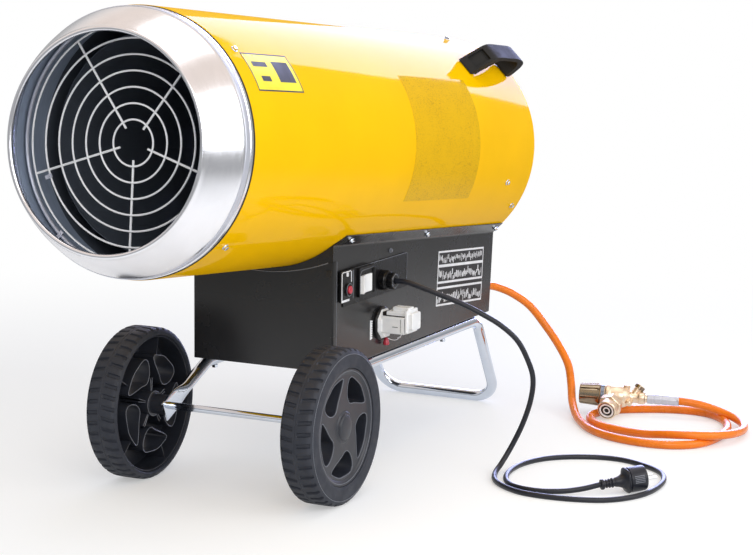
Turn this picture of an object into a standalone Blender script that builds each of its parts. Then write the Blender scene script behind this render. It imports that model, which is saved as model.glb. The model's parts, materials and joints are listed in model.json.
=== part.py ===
"""Gas space heater on a two-wheeled tube frame, in metres, +Z up.

The outlet faces -Y and the control side is +X. The origin is on the floor, under the middle of the heater.
"""
import math

import bmesh
import bpy
from mathutils import Matrix, Vector

# Clearances and tolerances
GAP = 0.0003
OVERRUN = 0.004
MERGE = 0.00001
SHARP_ANGLE = math.radians(35)

# Wheels and axle
WHEEL_RADIUS = 0.125
WHEEL_OUTER_FACE = 0.2016
TYRE_WIDTH = 0.0496
TYRE_BORE = 0.0970
TYRE_STEPS = 48
LUG_DEPTH = 0.0028
LUG_BAND = 0.016
LUG_CHAMFER = 0.0035
RIM_STEPS = 28
RIM_WEB = 0.006
RIM_RECESS = 0.004
RIM_BAND_WALL = 0.005
HUB_RADIUS = 0.018
HUB_BOSS_RADIUS = 0.0245
HUB_CAP_RADIUS = 0.0207
HUB_CAP_SEAT = 0.005
HUB_CAP_DOME = 0.0045
WINDOW_COUNT = 5
WINDOW_INNER = 0.0395
WINDOW_OUTER = 0.0805
WINDOW_TURN = math.radians(40)
WINDOW_SWEEP_SHARE = 0.80
AXLE_RADIUS = 0.006
AXLE_AHEAD = 0.0904
WASHER_RADIUS = 0.012
WASHER_THICKNESS = 0.002

# Tube frame
FRAME_TUBE_RADIUS = 0.010
FRAME_INSET = 0.010
FRAME_RUN_HEIGHT = 0.1777
FRAME_BEND_RADIUS = 0.045
FRAME_SIDES = 12
BEND_STEP = math.radians(20)
FRAME_FRONT_CORNER = 0.027
FRAME_REAR_CORNER = 0.6005
FRAME_FOOT_BEHIND = 0.1022
TAB_LENGTH = 0.050
TAB_REACH = 0.020
TAB_HALF_HEIGHT = 0.0175
TAB_HALF_THICKNESS = 0.0020
TAB_SQUARENESS = 0.35

# Drum, outlet and what is inside
DRUM_RADIUS = 0.200
DRUM_LENGTH = 1.054
DRUM_WALL = 0.0012
DRUM_TILT = math.radians(5)
DRUM_SEGMENTS = 48
DRUM_OVERHANG = 0.3803
DRUM_LIFT = 0.1637
REAR_LIP = 0.011
CONE_INSERT = 0.018
CONE_BAND = 0.020
CONE_STEP = 0.002
CONE_STEP_LENGTH = 0.0035
CONE_LENGTH = 0.086
CONE_TAPER = 0.038
CONE_LIP_ROLL = 0.0035
CONE_BULGE = 0.0020
CONE_SHEET = 0.001
GRILLE_SETBACK = 0.006
GRILLE_RING_COUNT = 7
GRILLE_FIRST_RADIUS = 0.034
GRILLE_WIRE = 0.0015
GRILLE_FRAME_INSET = 0.0147
GRILLE_FRAME_SPACE = 0.0055
GRILLE_FRAME_WIRE = 0.0020
GRILLE_SPOKES = 5
GRILLE_SPOKE_START = 0.025
GUARD_RINGS = 3
GUARD_FIRST_RADIUS = 0.045
GUARD_WIRE = 0.0015
GUARD_FRAME_INSET = 0.0065
GUARD_FRAME_WIRE = 0.0022
GUARD_SPOKES = 4
WIRE_SIDES = 4
WIRE_RING_STEPS = 3
CHAMBER_AIR_SPACE = 0.035
CHAMBER_START = 0.045
CHAMBER_LENGTH = 0.575
CHAMBER_WALL = 0.001
CHAMBER_SEGMENTS = 30
STANDOFF_WIDTH = 0.030
STANDOFF_SHEET = 0.002
STANDOFF_INSET = 0.050
STANDOFFS_ROUND = 3
BURNER_PLACE = 0.430
BURNER_DEPTH = 0.020
BURNER_SHEET = 0.0015
BURNER_DISH_INSET = 0.075
BURNER_SLOTS = 6
SLOT_LENGTH = 0.040
SLOT_WIDTH = 0.008
SLOT_INSET = 0.040
JET_RADIUS = 0.009
JET_LENGTH = 0.045
JET_COLLAR = 0.014
GAS_PIPE_RADIUS = 0.005
GAS_PIPE_DROP_PLACE = 0.660
GAS_PIPE_BELLY_SPACE = 0.100
GAS_PIPE_BEND = 0.025
PIPE_SIDES = 8
ELECTRODE_RADIUS = 0.005
ELECTRODE_WIRE = 0.0016
ELECTRODE_INSET = 0.030
ELECTRODE_LENGTH = 0.060
MOTOR_RADIUS = 0.050
MOTOR_LENGTH = 0.130
MOTOR_PLACE = 0.800
MOTOR_NOSE = 0.008
SHAFT_RADIUS = 0.006
SHAFT_LENGTH = 0.062
MOUNT_WALL = 0.004
MOUNT_WIDTH = 0.030
MOUNT_ARMS = 3
MOUNT_ARM_SHEET = 0.003
FAN_PLACE = 0.950
FAN_HUB_RADIUS = 0.035
FAN_HUB_LENGTH = 0.040
FAN_TIP_SPACE = 0.015
FAN_BLADES = 5
FAN_BLADE_SHEET = 0.002
FAN_CHORD = 0.085
FAN_ROOT_PITCH = math.radians(38)
FAN_TIP_PITCH = math.radians(20)

# Housing under the drum
BOX_FRONT = -0.117
BOX_HALF_WIDTH = 0.130
BOX_SHEET = 0.0015
BOX_REAR_PLACE = 1.050
BOX_RETURN = 0.012
FLANGE_WIDTH = 0.025
FLANGE_CHAMFER = 0.008
COVER_ARC_FLATNESS = 0.135
COVER_ARC_SPACE = 0.0077
COVER_ARC_INSET = 0.006
REAR_PANEL_INSET = 0.002
ARC_STEPS = 16

# Controls on the +X side; places are measured back from the box front, and up from the box floor
PLATE_START = 0.035
PLATE_LENGTH = 0.225
PLATE_LOW = 0.102
PLATE_HIGH = 0.161
PLATE_SHEET = 0.0015
RESET_START = 0.019
RESET_LENGTH = 0.057
RESET_LOW = 0.111
RESET_HIGH = 0.162
RESET_DEPTH = 0.004
RESET_COLLAR_RADIUS = 0.012
RESET_COLLAR_DEPTH = 0.003
RESET_BUTTON_RADIUS = 0.009
RESET_CROWN_RADIUS = 0.0072
RESET_BUTTON_PROUD = 0.006
RESET_TRAVEL = 0.003
RESET_PLACE = 0.0444
RESET_HEIGHT = 0.130
BEZEL_START = 0.0765
BEZEL_LENGTH = 0.0581
BEZEL_LOW = 0.112
BEZEL_HIGH = 0.161
BEZEL_DEPTH = 0.0085
ROCKER_START = 0.079
ROCKER_LENGTH = 0.043
ROCKER_LOW = 0.116
ROCKER_HIGH = 0.156
ROCKER_PROUD = 0.0035
ROCKER_CLEARANCE = 0.0008
ROCKER_SWING = math.radians(8)
GLAND_PLACE = 0.179
GLAND_HEIGHT = 0.127
GLAND_STEM_RADIUS = 0.010
GLAND_STEM_LENGTH = 0.012
GLAND_BODY_RADIUS = 0.0185
GLAND_BODY_LENGTH = 0.018
GLAND_NUT_RADIUS = 0.014
GLAND_NUT_LENGTH = 0.010
GLAND_NECK_RADIUS = 0.009
SOCKET_PLACE = 0.169
SOCKET_HEIGHT = 0.059
SOCKET_RADIUS = 0.032
SOCKET_DEPTH = 0.004
PLUG_BASE_DEPTH = 0.008
PLUG_BASE_RADIUS = 0.0304
PLUG_SHOULDER_RADIUS = 0.0262
PLUG_BODY_LENGTH = 0.048
PLUG_CAP_LENGTH = 0.008
PLUG_BODY_WIDTH = 0.048
PLUG_BODY_HEIGHT = 0.054
PLUG_CAP_WIDTH = 0.036
PLUG_CAP_HEIGHT = 0.040

# Gas and ignition parts inside the housing
VALVE_INSET = 0.026
VALVE_WIDTH = 0.040
VALVE_LENGTH = 0.080
VALVE_HEIGHT = 0.060
INLET_HEIGHT = 0.0460
INLET_STEM_LENGTH = 0.0246
INLET_STEM_RADIUS = 0.007
INLET_NUT_RADIUS = 0.012
INLET_NUT_LENGTH = 0.010
INLET_BARB_RADIUS = 0.0095
INLET_BARB_LENGTH = 0.008
TRANSFORMER_INSET = 0.060
TRANSFORMER_WIDTH = 0.070
TRANSFORMER_START = 0.150
TRANSFORMER_LENGTH = 0.090
TRANSFORMER_HEIGHT = 0.065

# Frame bolts
BOLT_RADIUS = 0.003
BOLT_HEAD_RADIUS = 0.0055
BOLT_HEAD_LENGTH = 0.0045
BOLT_NUT_LENGTH = 0.004
BOLT_PLACES = (0.053, 0.450)

# Handles, measured along the drum and out from its skin
HANDLE_ANGLE = math.radians(44)
HANDLE_WIDTH = 0.034
HANDLE_START = 0.850
HANDLE_LENGTH = 0.190
HANDLE_HEIGHT = 0.045
HANDLE_BEVEL = 0.0025

# Mains cable and plug; the route's points are chosen by hand
CABLE_RADIUS = 0.0045
CABLE_SPACING = 0.0260
CABLE_ROUTE = (
    (0.180, 0.0625, 0.3135),
    (0.215, 0.068, 0.3024),
    (0.265, 0.079, 0.2849),
    (0.297, 0.089, 0.2695),
    (0.329, 0.100, 0.2505),
    (0.355, 0.111, 0.2259),
    (0.370, 0.120, 0.1954),
    (0.379, 0.127, 0.1612),
    (0.374, 0.132, 0.1222),
    (0.360, 0.133, 0.0790),
    (0.344, 0.126, 0.0405),
    (0.335, 0.106, 0.0150),
    (0.338, 0.070, 0.0046),
    (0.362, 0.023, 0.0045),
    (0.409, -0.013, 0.0045),
    (0.456, -0.022, 0.0045),
    (0.513, -0.015, 0.0045),
    (0.560, 0.006, 0.0045),
    (0.592, 0.049, 0.0045),
    (0.604, 0.099, 0.0045),
    (0.600, 0.161, 0.0045),
    (0.580, 0.209, 0.0045),
    (0.546, 0.240, 0.0045),
    (0.497, 0.263, 0.0045),
    (0.452, 0.262, 0.0045),
    (0.405, 0.240, 0.0045),
    (0.372, 0.207, 0.0045),
    (0.354, 0.162, 0.0045),
    (0.351, 0.113, 0.0045),
    (0.361, 0.063, 0.0045),
    (0.383, 0.024, 0.0045),
    (0.412, 0.007, 0.0045),
    (0.446, 0.006, 0.0045),
    (0.481, 0.016, 0.0065),
    (0.508, 0.030, 0.0105),
)
PLUG_START = Vector((0.531, 0.050, 0.0155))
PLUG_HEADING = math.radians(42)
PLUG_RISE = math.radians(6)
RELIEF_LENGTH = 0.024
RELIEF_WAIST_RADIUS = 0.0053
RELIEF_SMALL_RADIUS = 0.0062
RELIEF_LARGE_RADIUS = 0.0085
RELIEF_RIBS = 3
MAINS_PLUG_LENGTH = 0.052
MAINS_PLUG_REAR_RADIUS = 0.0105
MAINS_PLUG_RADIUS = 0.0212
PIN_RADIUS = 0.0024
PIN_LENGTH = 0.019
PIN_SPREAD = 0.0095

# Gas hose, regulator and what is on it
HOSE_RADIUS = 0.0075
HOSE_SPACING = 0.0440
HOSE_ROUTE = (
    (0.1065, 0.570, 0.2290),
    (0.118, 0.590, 0.2235),
    (0.141, 0.607, 0.2110),
    (0.171, 0.622, 0.1876),
    (0.199, 0.632, 0.1517),
    (0.228, 0.630, 0.1164),
    (0.253, 0.619, 0.0824),
    (0.269, 0.596, 0.0500),
    (0.286, 0.561, 0.0230),
    (0.318, 0.507, 0.0085),
    (0.366, 0.441, 0.0075),
    (0.418, 0.404, 0.0075),
    (0.479, 0.388, 0.0075),
    (0.532, 0.394, 0.0075),
    (0.570, 0.422, 0.0075),
    (0.588, 0.473, 0.0075),
    (0.588, 0.545, 0.0075),
    (0.570, 0.606, 0.0075),
    (0.536, 0.652, 0.0075),
    (0.492, 0.672, 0.0075),
    (0.442, 0.665, 0.0075),
    (0.394, 0.641, 0.0075),
    (0.353, 0.608, 0.0075),
    (0.331, 0.566, 0.0075),
    (0.337, 0.519, 0.0075),
    (0.372, 0.478, 0.0075),
    (0.422, 0.457, 0.0080),
    (0.470, 0.436, 0.0120),
    (0.515, 0.421, 0.0190),
    (0.558, 0.421, 0.0225),
    (0.592, 0.441, 0.0215),
    (0.612, 0.478, 0.0180),
    (0.6185, 0.520, 0.0140),
    (0.616, 0.560, 0.0110),
    (0.606, 0.593, 0.0110),
    (0.588, 0.618, 0.0130),
    (0.563, 0.6335, 0.0180),
    (0.536, 0.6385, 0.0240),
    (0.507, 0.6342, 0.0305),
)
KNOB_CENTRE = Vector((0.310, 0.588, 0.038))
FERRULE_END = Vector((0.472, 0.626, 0.034))
NUT_FACE = Vector((0.360, 0.542, 0.020))
KNOB_LENGTH = 0.038
KNOB_EDGE = 0.0019
KNOB_FRONT_RADIUS = 0.0190
KNOB_REAR_RADIUS = 0.0215
KNOB_FLUTES = 8
KNOB_FLUTE_DEPTH = 0.0022
KNOB_FLUTE_STEPS = 4
BONNET_RADIUS = 0.0185
BODY_FLANGE_RADIUS = 0.0215
BONNET_SHOULDER_RADIUS = 0.0148
BODY_NECK_RADIUS = 0.0095
BODY_COLLAR_RADIUS = 0.0128
BODY_TAIL_RADIUS = 0.0076
BODY_STUB_RADIUS = 0.0071
BODY_STUB_SHARE = 0.72
BODY_OUTLET_SHARE = 0.36
BODY_LENGTH = 0.088
FERRULE_RADIUS = 0.0093
SWIVEL_RADIUS = 0.0140
SWIVEL_HEX_RADIUS = 0.0190
SWIVEL_LENGTH = 0.033
SWIVEL_NECK_RADIUS = 0.0080

# Sizes and stations that follow from the sizes above
AXIS_RISE = DRUM_RADIUS + DRUM_LIFT
CONE_RADIUS = DRUM_RADIUS - DRUM_WALL - GAP
CONE_MOUTH_RADIUS = DRUM_RADIUS - CONE_TAPER
GRILLE_FRAME_RADIUS = DRUM_RADIUS - GRILLE_FRAME_INSET
GRILLE_SPREAD = GRILLE_FRAME_RADIUS - GRILLE_FRAME_SPACE - GRILLE_FIRST_RADIUS
GRILLE_PITCH = GRILLE_SPREAD / (GRILLE_RING_COUNT - 1)
GUARD_FRAME_RADIUS = DRUM_RADIUS - GUARD_FRAME_INSET
GUARD_PITCH = (GUARD_FRAME_RADIUS - GUARD_FIRST_RADIUS) / GUARD_RINGS
CHAMBER_RADIUS = DRUM_RADIUS - CHAMBER_AIR_SPACE
BURNER_DISH = CHAMBER_RADIUS - BURNER_DISH_INSET
SLOT_PLACE = CHAMBER_RADIUS - SLOT_INSET
ELECTRODE_OFFSET = BURNER_DISH - ELECTRODE_INSET
GAS_PIPE_RUN_DEPTH = DRUM_RADIUS + GAS_PIPE_BELLY_SPACE
FAN_RADIUS = DRUM_RADIUS - FAN_TIP_SPACE
COVER_ARC_RADIUS = DRUM_RADIUS + COVER_ARC_FLATNESS
COVER_ARC_RISE = DRUM_LIFT - COVER_ARC_SPACE
COVER_ARC_HALF_WIDTH = BOX_HALF_WIDTH - COVER_ARC_INSET
FRAME_HALF_WIDTH = BOX_HALF_WIDTH - FRAME_INSET
VALVE_X = BOX_HALF_WIDTH - VALVE_INSET
TRANSFORMER_X = TRANSFORMER_INSET - BOX_HALF_WIDTH
BOX_BOTTOM = FRAME_RUN_HEIGHT + FRAME_TUBE_RADIUS + GAP
TRAY_HALF_WIDTH = BOX_HALF_WIDTH - BOX_SHEET - GAP
TRAY_INNER = TRAY_HALF_WIDTH - BOX_SHEET
TRAY_FLOOR = BOX_BOTTOM + BOX_SHEET
WALL_FACE = TRAY_HALF_WIDTH
AXLE_PLACE = Vector((0, BOX_FRONT - AXLE_AHEAD, WHEEL_RADIUS))
DRUM_ORIGIN = Vector((
    0,
    BOX_FRONT - DRUM_OVERHANG * math.cos(DRUM_TILT),
    BOX_BOTTOM + AXIS_RISE + DRUM_OVERHANG * math.sin(DRUM_TILT),
))


def clear_scene():
    """Remove whatever the file held before"""
    for obj in list(bpy.data.objects):
        bpy.data.objects.remove(obj, do_unlink=True)


def material(name, colour, roughness, metallic=0):
    """Make a Principled material"""
    made = bpy.data.materials.new(name)
    made.use_nodes = True
    shader = made.node_tree.nodes["Principled BSDF"]
    shader.inputs["Base Color"].default_value = (*colour, 1)
    shader.inputs["Roughness"].default_value = roughness
    shader.inputs["Metallic"].default_value = metallic
    made.diffuse_color = (*colour, 1)
    return made


def make_materials():
    """The finishes of the heater"""
    return {
        "yellow": material("yellow_paint", (0.90, 0.47, 0.01), 0.35),
        "black": material("black_paint", (0.018, 0.017, 0.018), 0.5),
        "bright": material("bright_sheet", (0.66, 0.67, 0.69), 0.35, 1),
        "wire": material("dull_wire", (0.30, 0.31, 0.32), 0.4, 1),
        "chrome": material("chromed_tube", (0.72, 0.74, 0.78), 0.12, 1),
        "rubber": material("rubber", (0.040, 0.042, 0.048), 0.8),
        "plastic": material("black_plastic", (0.020, 0.020, 0.022), 0.45),
        "white": material("white_plastic", (0.82, 0.84, 0.87), 0.35),
        "red": material("red_plastic", (0.45, 0.06, 0.08), 0.3),
        "orange": material("orange_hose", (0.86, 0.18, 0.01), 0.55),
        "brass": material("brass", (0.75, 0.50, 0.22), 0.28, 1),
        "ceramic": material("ceramic", (0.75, 0.72, 0.66), 0.4),
    }


def empty(name, place, turn=(0, 0, 0)):
    """Make an empty to hang pieces on"""
    made = bpy.data.objects.new(name, None)
    made.location = place
    made.rotation_euler = turn
    bpy.context.collection.objects.link(made)
    return made


def add_object(name, bm, finish, parent=None, place=(0, 0, 0), cutter=False):
    """Turn a bmesh into a named object"""
    bmesh.ops.remove_doubles(bm, verts=bm.verts, dist=MERGE)
    bmesh.ops.recalc_face_normals(bm, faces=bm.faces)
    mesh = bpy.data.meshes.new(name)
    bm.to_mesh(mesh)
    bm.free()
    mesh.shade_smooth()
    mesh.set_sharp_from_angle(angle=SHARP_ANGLE)
    made = bpy.data.objects.new(name, mesh)
    made.location = place
    made.parent = parent
    bpy.context.collection.objects.link(made)
    if finish:
        mesh.materials.append(finish)
    if cutter:
        made.hide_render = True
        made.display_type = "WIRE"
    return made


def combine(target, tool, operation):
    """Add a Boolean modifier"""
    modifier = target.modifiers.new(tool.name, "BOOLEAN")
    modifier.operation = operation
    modifier.solver = "EXACT"
    modifier.object = tool


def cut(target, tool):
    """Cut a tool's shape out of a piece"""
    combine(target, tool, "DIFFERENCE")


def join(target, tool):
    """Weld a tool's shape to a piece"""
    combine(target, tool, "UNION")


def bevel(target, width):
    """Break a piece's sharp edges"""
    modifier = target.modifiers.new("edges", "BEVEL")
    modifier.width = width
    modifier.segments = 1
    modifier.limit_method = "ANGLE"
    modifier.angle_limit = SHARP_ANGLE


def spun(outline, steps, axis, closed=True, phase=0):
    """Turn an outline of (along, radius) points about X, Y or Z through the origin"""
    bm = bmesh.new()
    axis_vector = Vector([float(axis == letter) for letter in "XYZ"])
    across = Vector((0, 0, 1)) if axis != "Z" else Vector((1, 0, 0))
    across.rotate(Matrix.Rotation(phase, 3, axis_vector))
    verts = [bm.verts.new(axis_vector * along + across * radius) for along, radius in outline]
    pairs = list(zip(verts, verts[1:]))
    if closed:
        pairs.append((verts[-1], verts[0]))
    edges = [bm.edges.new(pair) for pair in pairs]
    bmesh.ops.spin(
        bm, geom=verts + edges, cent=(0, 0, 0), axis=axis_vector,
        angle=math.tau, steps=steps, use_merge=True,
    )
    return bm


def rod(start, end, radius, steps, axis="Y", phase=0):
    """A plain round bar along an axis"""
    outline = ((start, 0), (start, radius), (end, radius), (end, 0))
    return spun(outline, steps, axis, closed=False, phase=phase)


def bore_for(radius, steps):
    """Corner radius of a faceted bore whose flats clear a shaft"""
    return (radius + GAP) / math.cos(math.pi / steps)


def drilled(start, end, radius, steps, axis="Y"):
    """A cutter for a round hole, whose flats clear the radius"""
    return rod(start, end, bore_for(radius, steps), steps, axis)


def block(low, high):
    """A box between two corners"""
    bm = bmesh.new()
    bmesh.ops.create_cube(bm, size=1)
    low = Vector(low)
    high = Vector(high)
    size = high - low
    bmesh.ops.scale(bm, vec=size, verts=bm.verts)
    bmesh.ops.translate(bm, vec=(low + high) / 2, verts=bm.verts)
    return bm


def slab(outline, move):
    """Push a flat outline of 3-D points along a vector"""
    bm = bmesh.new()
    face = bm.faces.new([bm.verts.new(point) for point in outline])
    pushed = bmesh.ops.extrude_face_region(bm, geom=[face])
    verts = [item for item in pushed["geom"] if isinstance(item, bmesh.types.BMVert)]
    bmesh.ops.translate(bm, vec=move, verts=verts)
    return bm


def lofted(rings, capped=True, closed_path=False):
    """Skin rings of points, one after another"""
    bm = bmesh.new()
    rows = [[bm.verts.new(point) for point in ring] for ring in rings]
    pairs = list(zip(rows, rows[1:]))
    if closed_path:
        pairs.append((rows[-1], rows[0]))
    for near, far in pairs:
        for index, vert in enumerate(near):
            after = (index + 1) % len(near)
            bm.faces.new((vert, near[after], far[after], far[index]))
    if capped and not closed_path:
        bm.faces.new(rows[0])
        bm.faces.new(rows[-1])
    return bm


def fillet_path(corners, radius):
    """Round the inner corners of a path of straight runs"""
    path = [Vector(corners[0])]
    for before, corner, after in zip(corners, corners[1:], corners[2:]):
        corner = Vector(corner)
        back = (Vector(before) - corner).normalized()
        ahead = (Vector(after) - corner).normalized()
        turn = math.pi - back.angle(ahead)
        reach = radius * math.tan(turn / 2)
        steps = max(2, round(turn / BEND_STEP))
        centre = corner + (back + ahead).normalized() * radius / math.cos(turn / 2)
        first = corner + back * reach - centre
        axle = first.cross(corner + ahead * reach - centre).normalized()
        for step in range(steps + 1):
            spoke = first.copy()
            spoke.rotate(Matrix.Rotation(turn * step / steps, 3, axle))
            path.append(centre + spoke)
    path.append(Vector(corners[-1]))
    return path


def carried_frames(path, side):
    """Carry a side vector along a path without twist; gives (point, side, up) at each point"""
    frames = []
    side = Vector(side)
    for index, point in enumerate(path):
        before = path[max(index - 1, 0)]
        after = path[min(index + 1, len(path) - 1)]
        ahead = (after - before).normalized()
        side = (side - ahead * side.dot(ahead)).normalized()
        frames.append((point, side, ahead.cross(side)))
    return frames


def pipe(path, radius, sides, side=(1, 0, 0)):
    """A round bar along a path"""
    rings = []
    for point, across, up in carried_frames(path, side):
        turns = [math.tau * index / sides for index in range(sides)]
        rings.append([point + (across * math.cos(turn) + up * math.sin(turn)) * radius for turn in turns])
    return lofted(rings)


def add_bm(target, source):
    """Put one bmesh's shape beside another's"""
    mesh = bpy.data.meshes.new("part_shape")
    source.to_mesh(mesh)
    source.free()
    target.from_mesh(mesh)
    bpy.data.meshes.remove(mesh)


def drum_to_world(point):
    """A place in the drum's own frame, in the world"""
    turned = Vector(point)
    turned.rotate(Matrix.Rotation(-DRUM_TILT, 3, "X"))
    return DRUM_ORIGIN + turned


def drum_depth_at(height, along):
    """How far under the drum axis a world height lies, at a station along the drum"""
    sine = math.sin(DRUM_TILT)
    return (DRUM_ORIGIN.z - height - along * sine) / math.cos(DRUM_TILT)


def along_at(world_y, depth):
    """Station along the drum where a line at a depth under the axis crosses a world Y"""
    return (world_y - DRUM_ORIGIN.y + depth * math.sin(DRUM_TILT)) / math.cos(DRUM_TILT)


def make_casing(finish, drum):
    """The round drum: an open shell with a lip turned in at the rear"""
    inner = DRUM_RADIUS - DRUM_WALL
    lip = DRUM_RADIUS - REAR_LIP
    outline = (
        (0, DRUM_RADIUS), (DRUM_LENGTH, DRUM_RADIUS), (DRUM_LENGTH, lip),
        (DRUM_LENGTH - DRUM_WALL, lip), (DRUM_LENGTH - DRUM_WALL, inner), (0, inner),
    )
    casing = add_object("drum_casing", spun(outline, DRUM_SEGMENTS, "Y"), finish["yellow"], drum)
    hole = drilled(-DRUM_RADIUS - OVERRUN, 0, GAS_PIPE_RADIUS + GAP, PIPE_SIDES, "Z")
    cutter = add_object("pipe_hole", hole, None, drum, (0, GAS_PIPE_DROP_PLACE, 0), cutter=True)
    cut(casing, cutter)


def make_cone(finish, drum):
    """The bright outlet cone, pushed into the casing's front"""
    steps = 3
    start = -CONE_BAND - CONE_STEP_LENGTH
    end = CONE_LIP_ROLL - CONE_LENGTH
    wide = CONE_RADIUS - CONE_STEP
    narrow = CONE_MOUTH_RADIUS + CONE_LIP_ROLL
    outer = [(CONE_INSERT, CONE_RADIUS), (-CONE_BAND, CONE_RADIUS)]
    for step in range(steps + 1):
        share = step / steps
        bulge = CONE_BULGE * 4 * share * (1 - share)
        outer.append((start + (end - start) * share, wide + (narrow - wide) * share + bulge))
    outer.append((-CONE_LENGTH, CONE_MOUTH_RADIUS + CONE_SHEET))
    outer.append((-CONE_LENGTH, CONE_MOUTH_RADIUS))
    inner = [(end, narrow - CONE_SHEET)]
    inner.append((start, wide - CONE_SHEET))
    inner.append((-CONE_BAND, CONE_RADIUS - CONE_SHEET))
    inner.append((CONE_INSERT, CONE_RADIUS - CONE_SHEET))
    add_object("outlet_cone", spun(outer + inner, DRUM_SEGMENTS, "Y"), finish["bright"], drum)


def wire_ring(radius, wire, place):
    """One closed ring of wire, square to the Y axis"""
    steps = 4 * round(WIRE_RING_STEPS + radius / DRUM_RADIUS * WIRE_RING_STEPS)
    turns = [math.tau * index / WIRE_SIDES for index in range(WIRE_SIDES)]
    outline = [(place + wire * math.sin(turn), radius + wire * math.cos(turn)) for turn in turns]
    return spun(outline, steps, "Y")


def wire_screen(name, place, behind, rings, spokes, finish, drum, first_turn):
    """Rings of wire with straight spokes welded behind them

    rings holds (radius, wire) pairs, and spokes is (count, start, end, wire)
    """
    shape = bmesh.new()
    for radius, wire in rings:
        add_bm(shape, wire_ring(radius, wire, place))
    screen = add_object(name, shape, finish, drum)
    count, start, end, wire = spokes
    weld = (wire + rings[0][1]) * math.cos(math.pi / WIRE_SIDES)
    bars = bmesh.new()
    for index in range(count):
        bar = rod(start, end, wire, WIRE_SIDES + 2, "X")
        turn = Matrix.Rotation(first_turn - math.tau * index / count, 4, "Y")
        shift = Matrix.Translation((0, place + behind * weld, 0))
        bar.transform(shift @ turn)
        add_bm(bars, bar)
    join(screen, add_object(name + "_spokes", bars, None, drum, cutter=True))


def make_grille(finish, drum):
    """The concentric wire grille in the outlet"""
    rings = [
        (GRILLE_FIRST_RADIUS + GRILLE_PITCH * index, GRILLE_WIRE) for index in range(GRILLE_RING_COUNT)
    ]
    rings.append((GRILLE_FRAME_RADIUS, GRILLE_FRAME_WIRE))
    reach = CONE_RADIUS - CONE_SHEET - GAP
    reach_flat = reach * math.cos(math.pi / DRUM_SEGMENTS) - GAP
    spokes = (GRILLE_SPOKES, GRILLE_SPOKE_START, reach_flat, GRILLE_FRAME_WIRE)
    wire_screen(
        "outlet_grille", -GRILLE_SETBACK, 1, rings, spokes, finish["wire"], drum, math.radians(90),
    )


def make_rear_guard(finish, drum):
    """The wire guard over the air inlet, held by the casing's rear lip"""
    rings = [(GUARD_FIRST_RADIUS + GUARD_PITCH * index, GUARD_WIRE) for index in range(GUARD_RINGS)]
    rings.append((GUARD_FRAME_RADIUS, GUARD_FRAME_WIRE))
    place = DRUM_LENGTH - DRUM_WALL - GAP - GUARD_FRAME_WIRE
    spokes = (GUARD_SPOKES, GUARD_FIRST_RADIUS - OVERRUN, GUARD_FRAME_RADIUS, GUARD_WIRE)
    wire_screen("rear_guard", place, -1, rings, spokes, finish["wire"], drum, math.radians(45))


def make_chamber(finish, drum):
    """The inner combustion tube, held off the casing by fins"""
    inner = CHAMBER_RADIUS - CHAMBER_WALL
    end = CHAMBER_START + CHAMBER_LENGTH
    outline = ((CHAMBER_START, CHAMBER_RADIUS), (end, CHAMBER_RADIUS), (end, inner), (CHAMBER_START, inner))
    chamber = add_object("combustion_chamber", spun(outline, CHAMBER_SEGMENTS, "Y"), finish["bright"], drum)
    fins = bmesh.new()
    outer = (DRUM_RADIUS - DRUM_WALL) * math.cos(math.pi / DRUM_SEGMENTS) - GAP
    root = CHAMBER_RADIUS - CHAMBER_WALL / 2
    for station in (CHAMBER_START + STANDOFF_INSET, end - STANDOFF_INSET - STANDOFF_WIDTH):
        for index in range(STANDOFFS_ROUND):
            fin = block(
                (-STANDOFF_SHEET / 2, station, root * math.cos(math.pi / CHAMBER_SEGMENTS)),
                (STANDOFF_SHEET / 2, station + STANDOFF_WIDTH, outer),
            )
            fin.transform(Matrix.Rotation(math.tau * index / STANDOFFS_ROUND, 4, "Y"))
            add_bm(fins, fin)
    join(chamber, add_object("standoff_fins", fins, None, drum, cutter=True))


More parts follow.
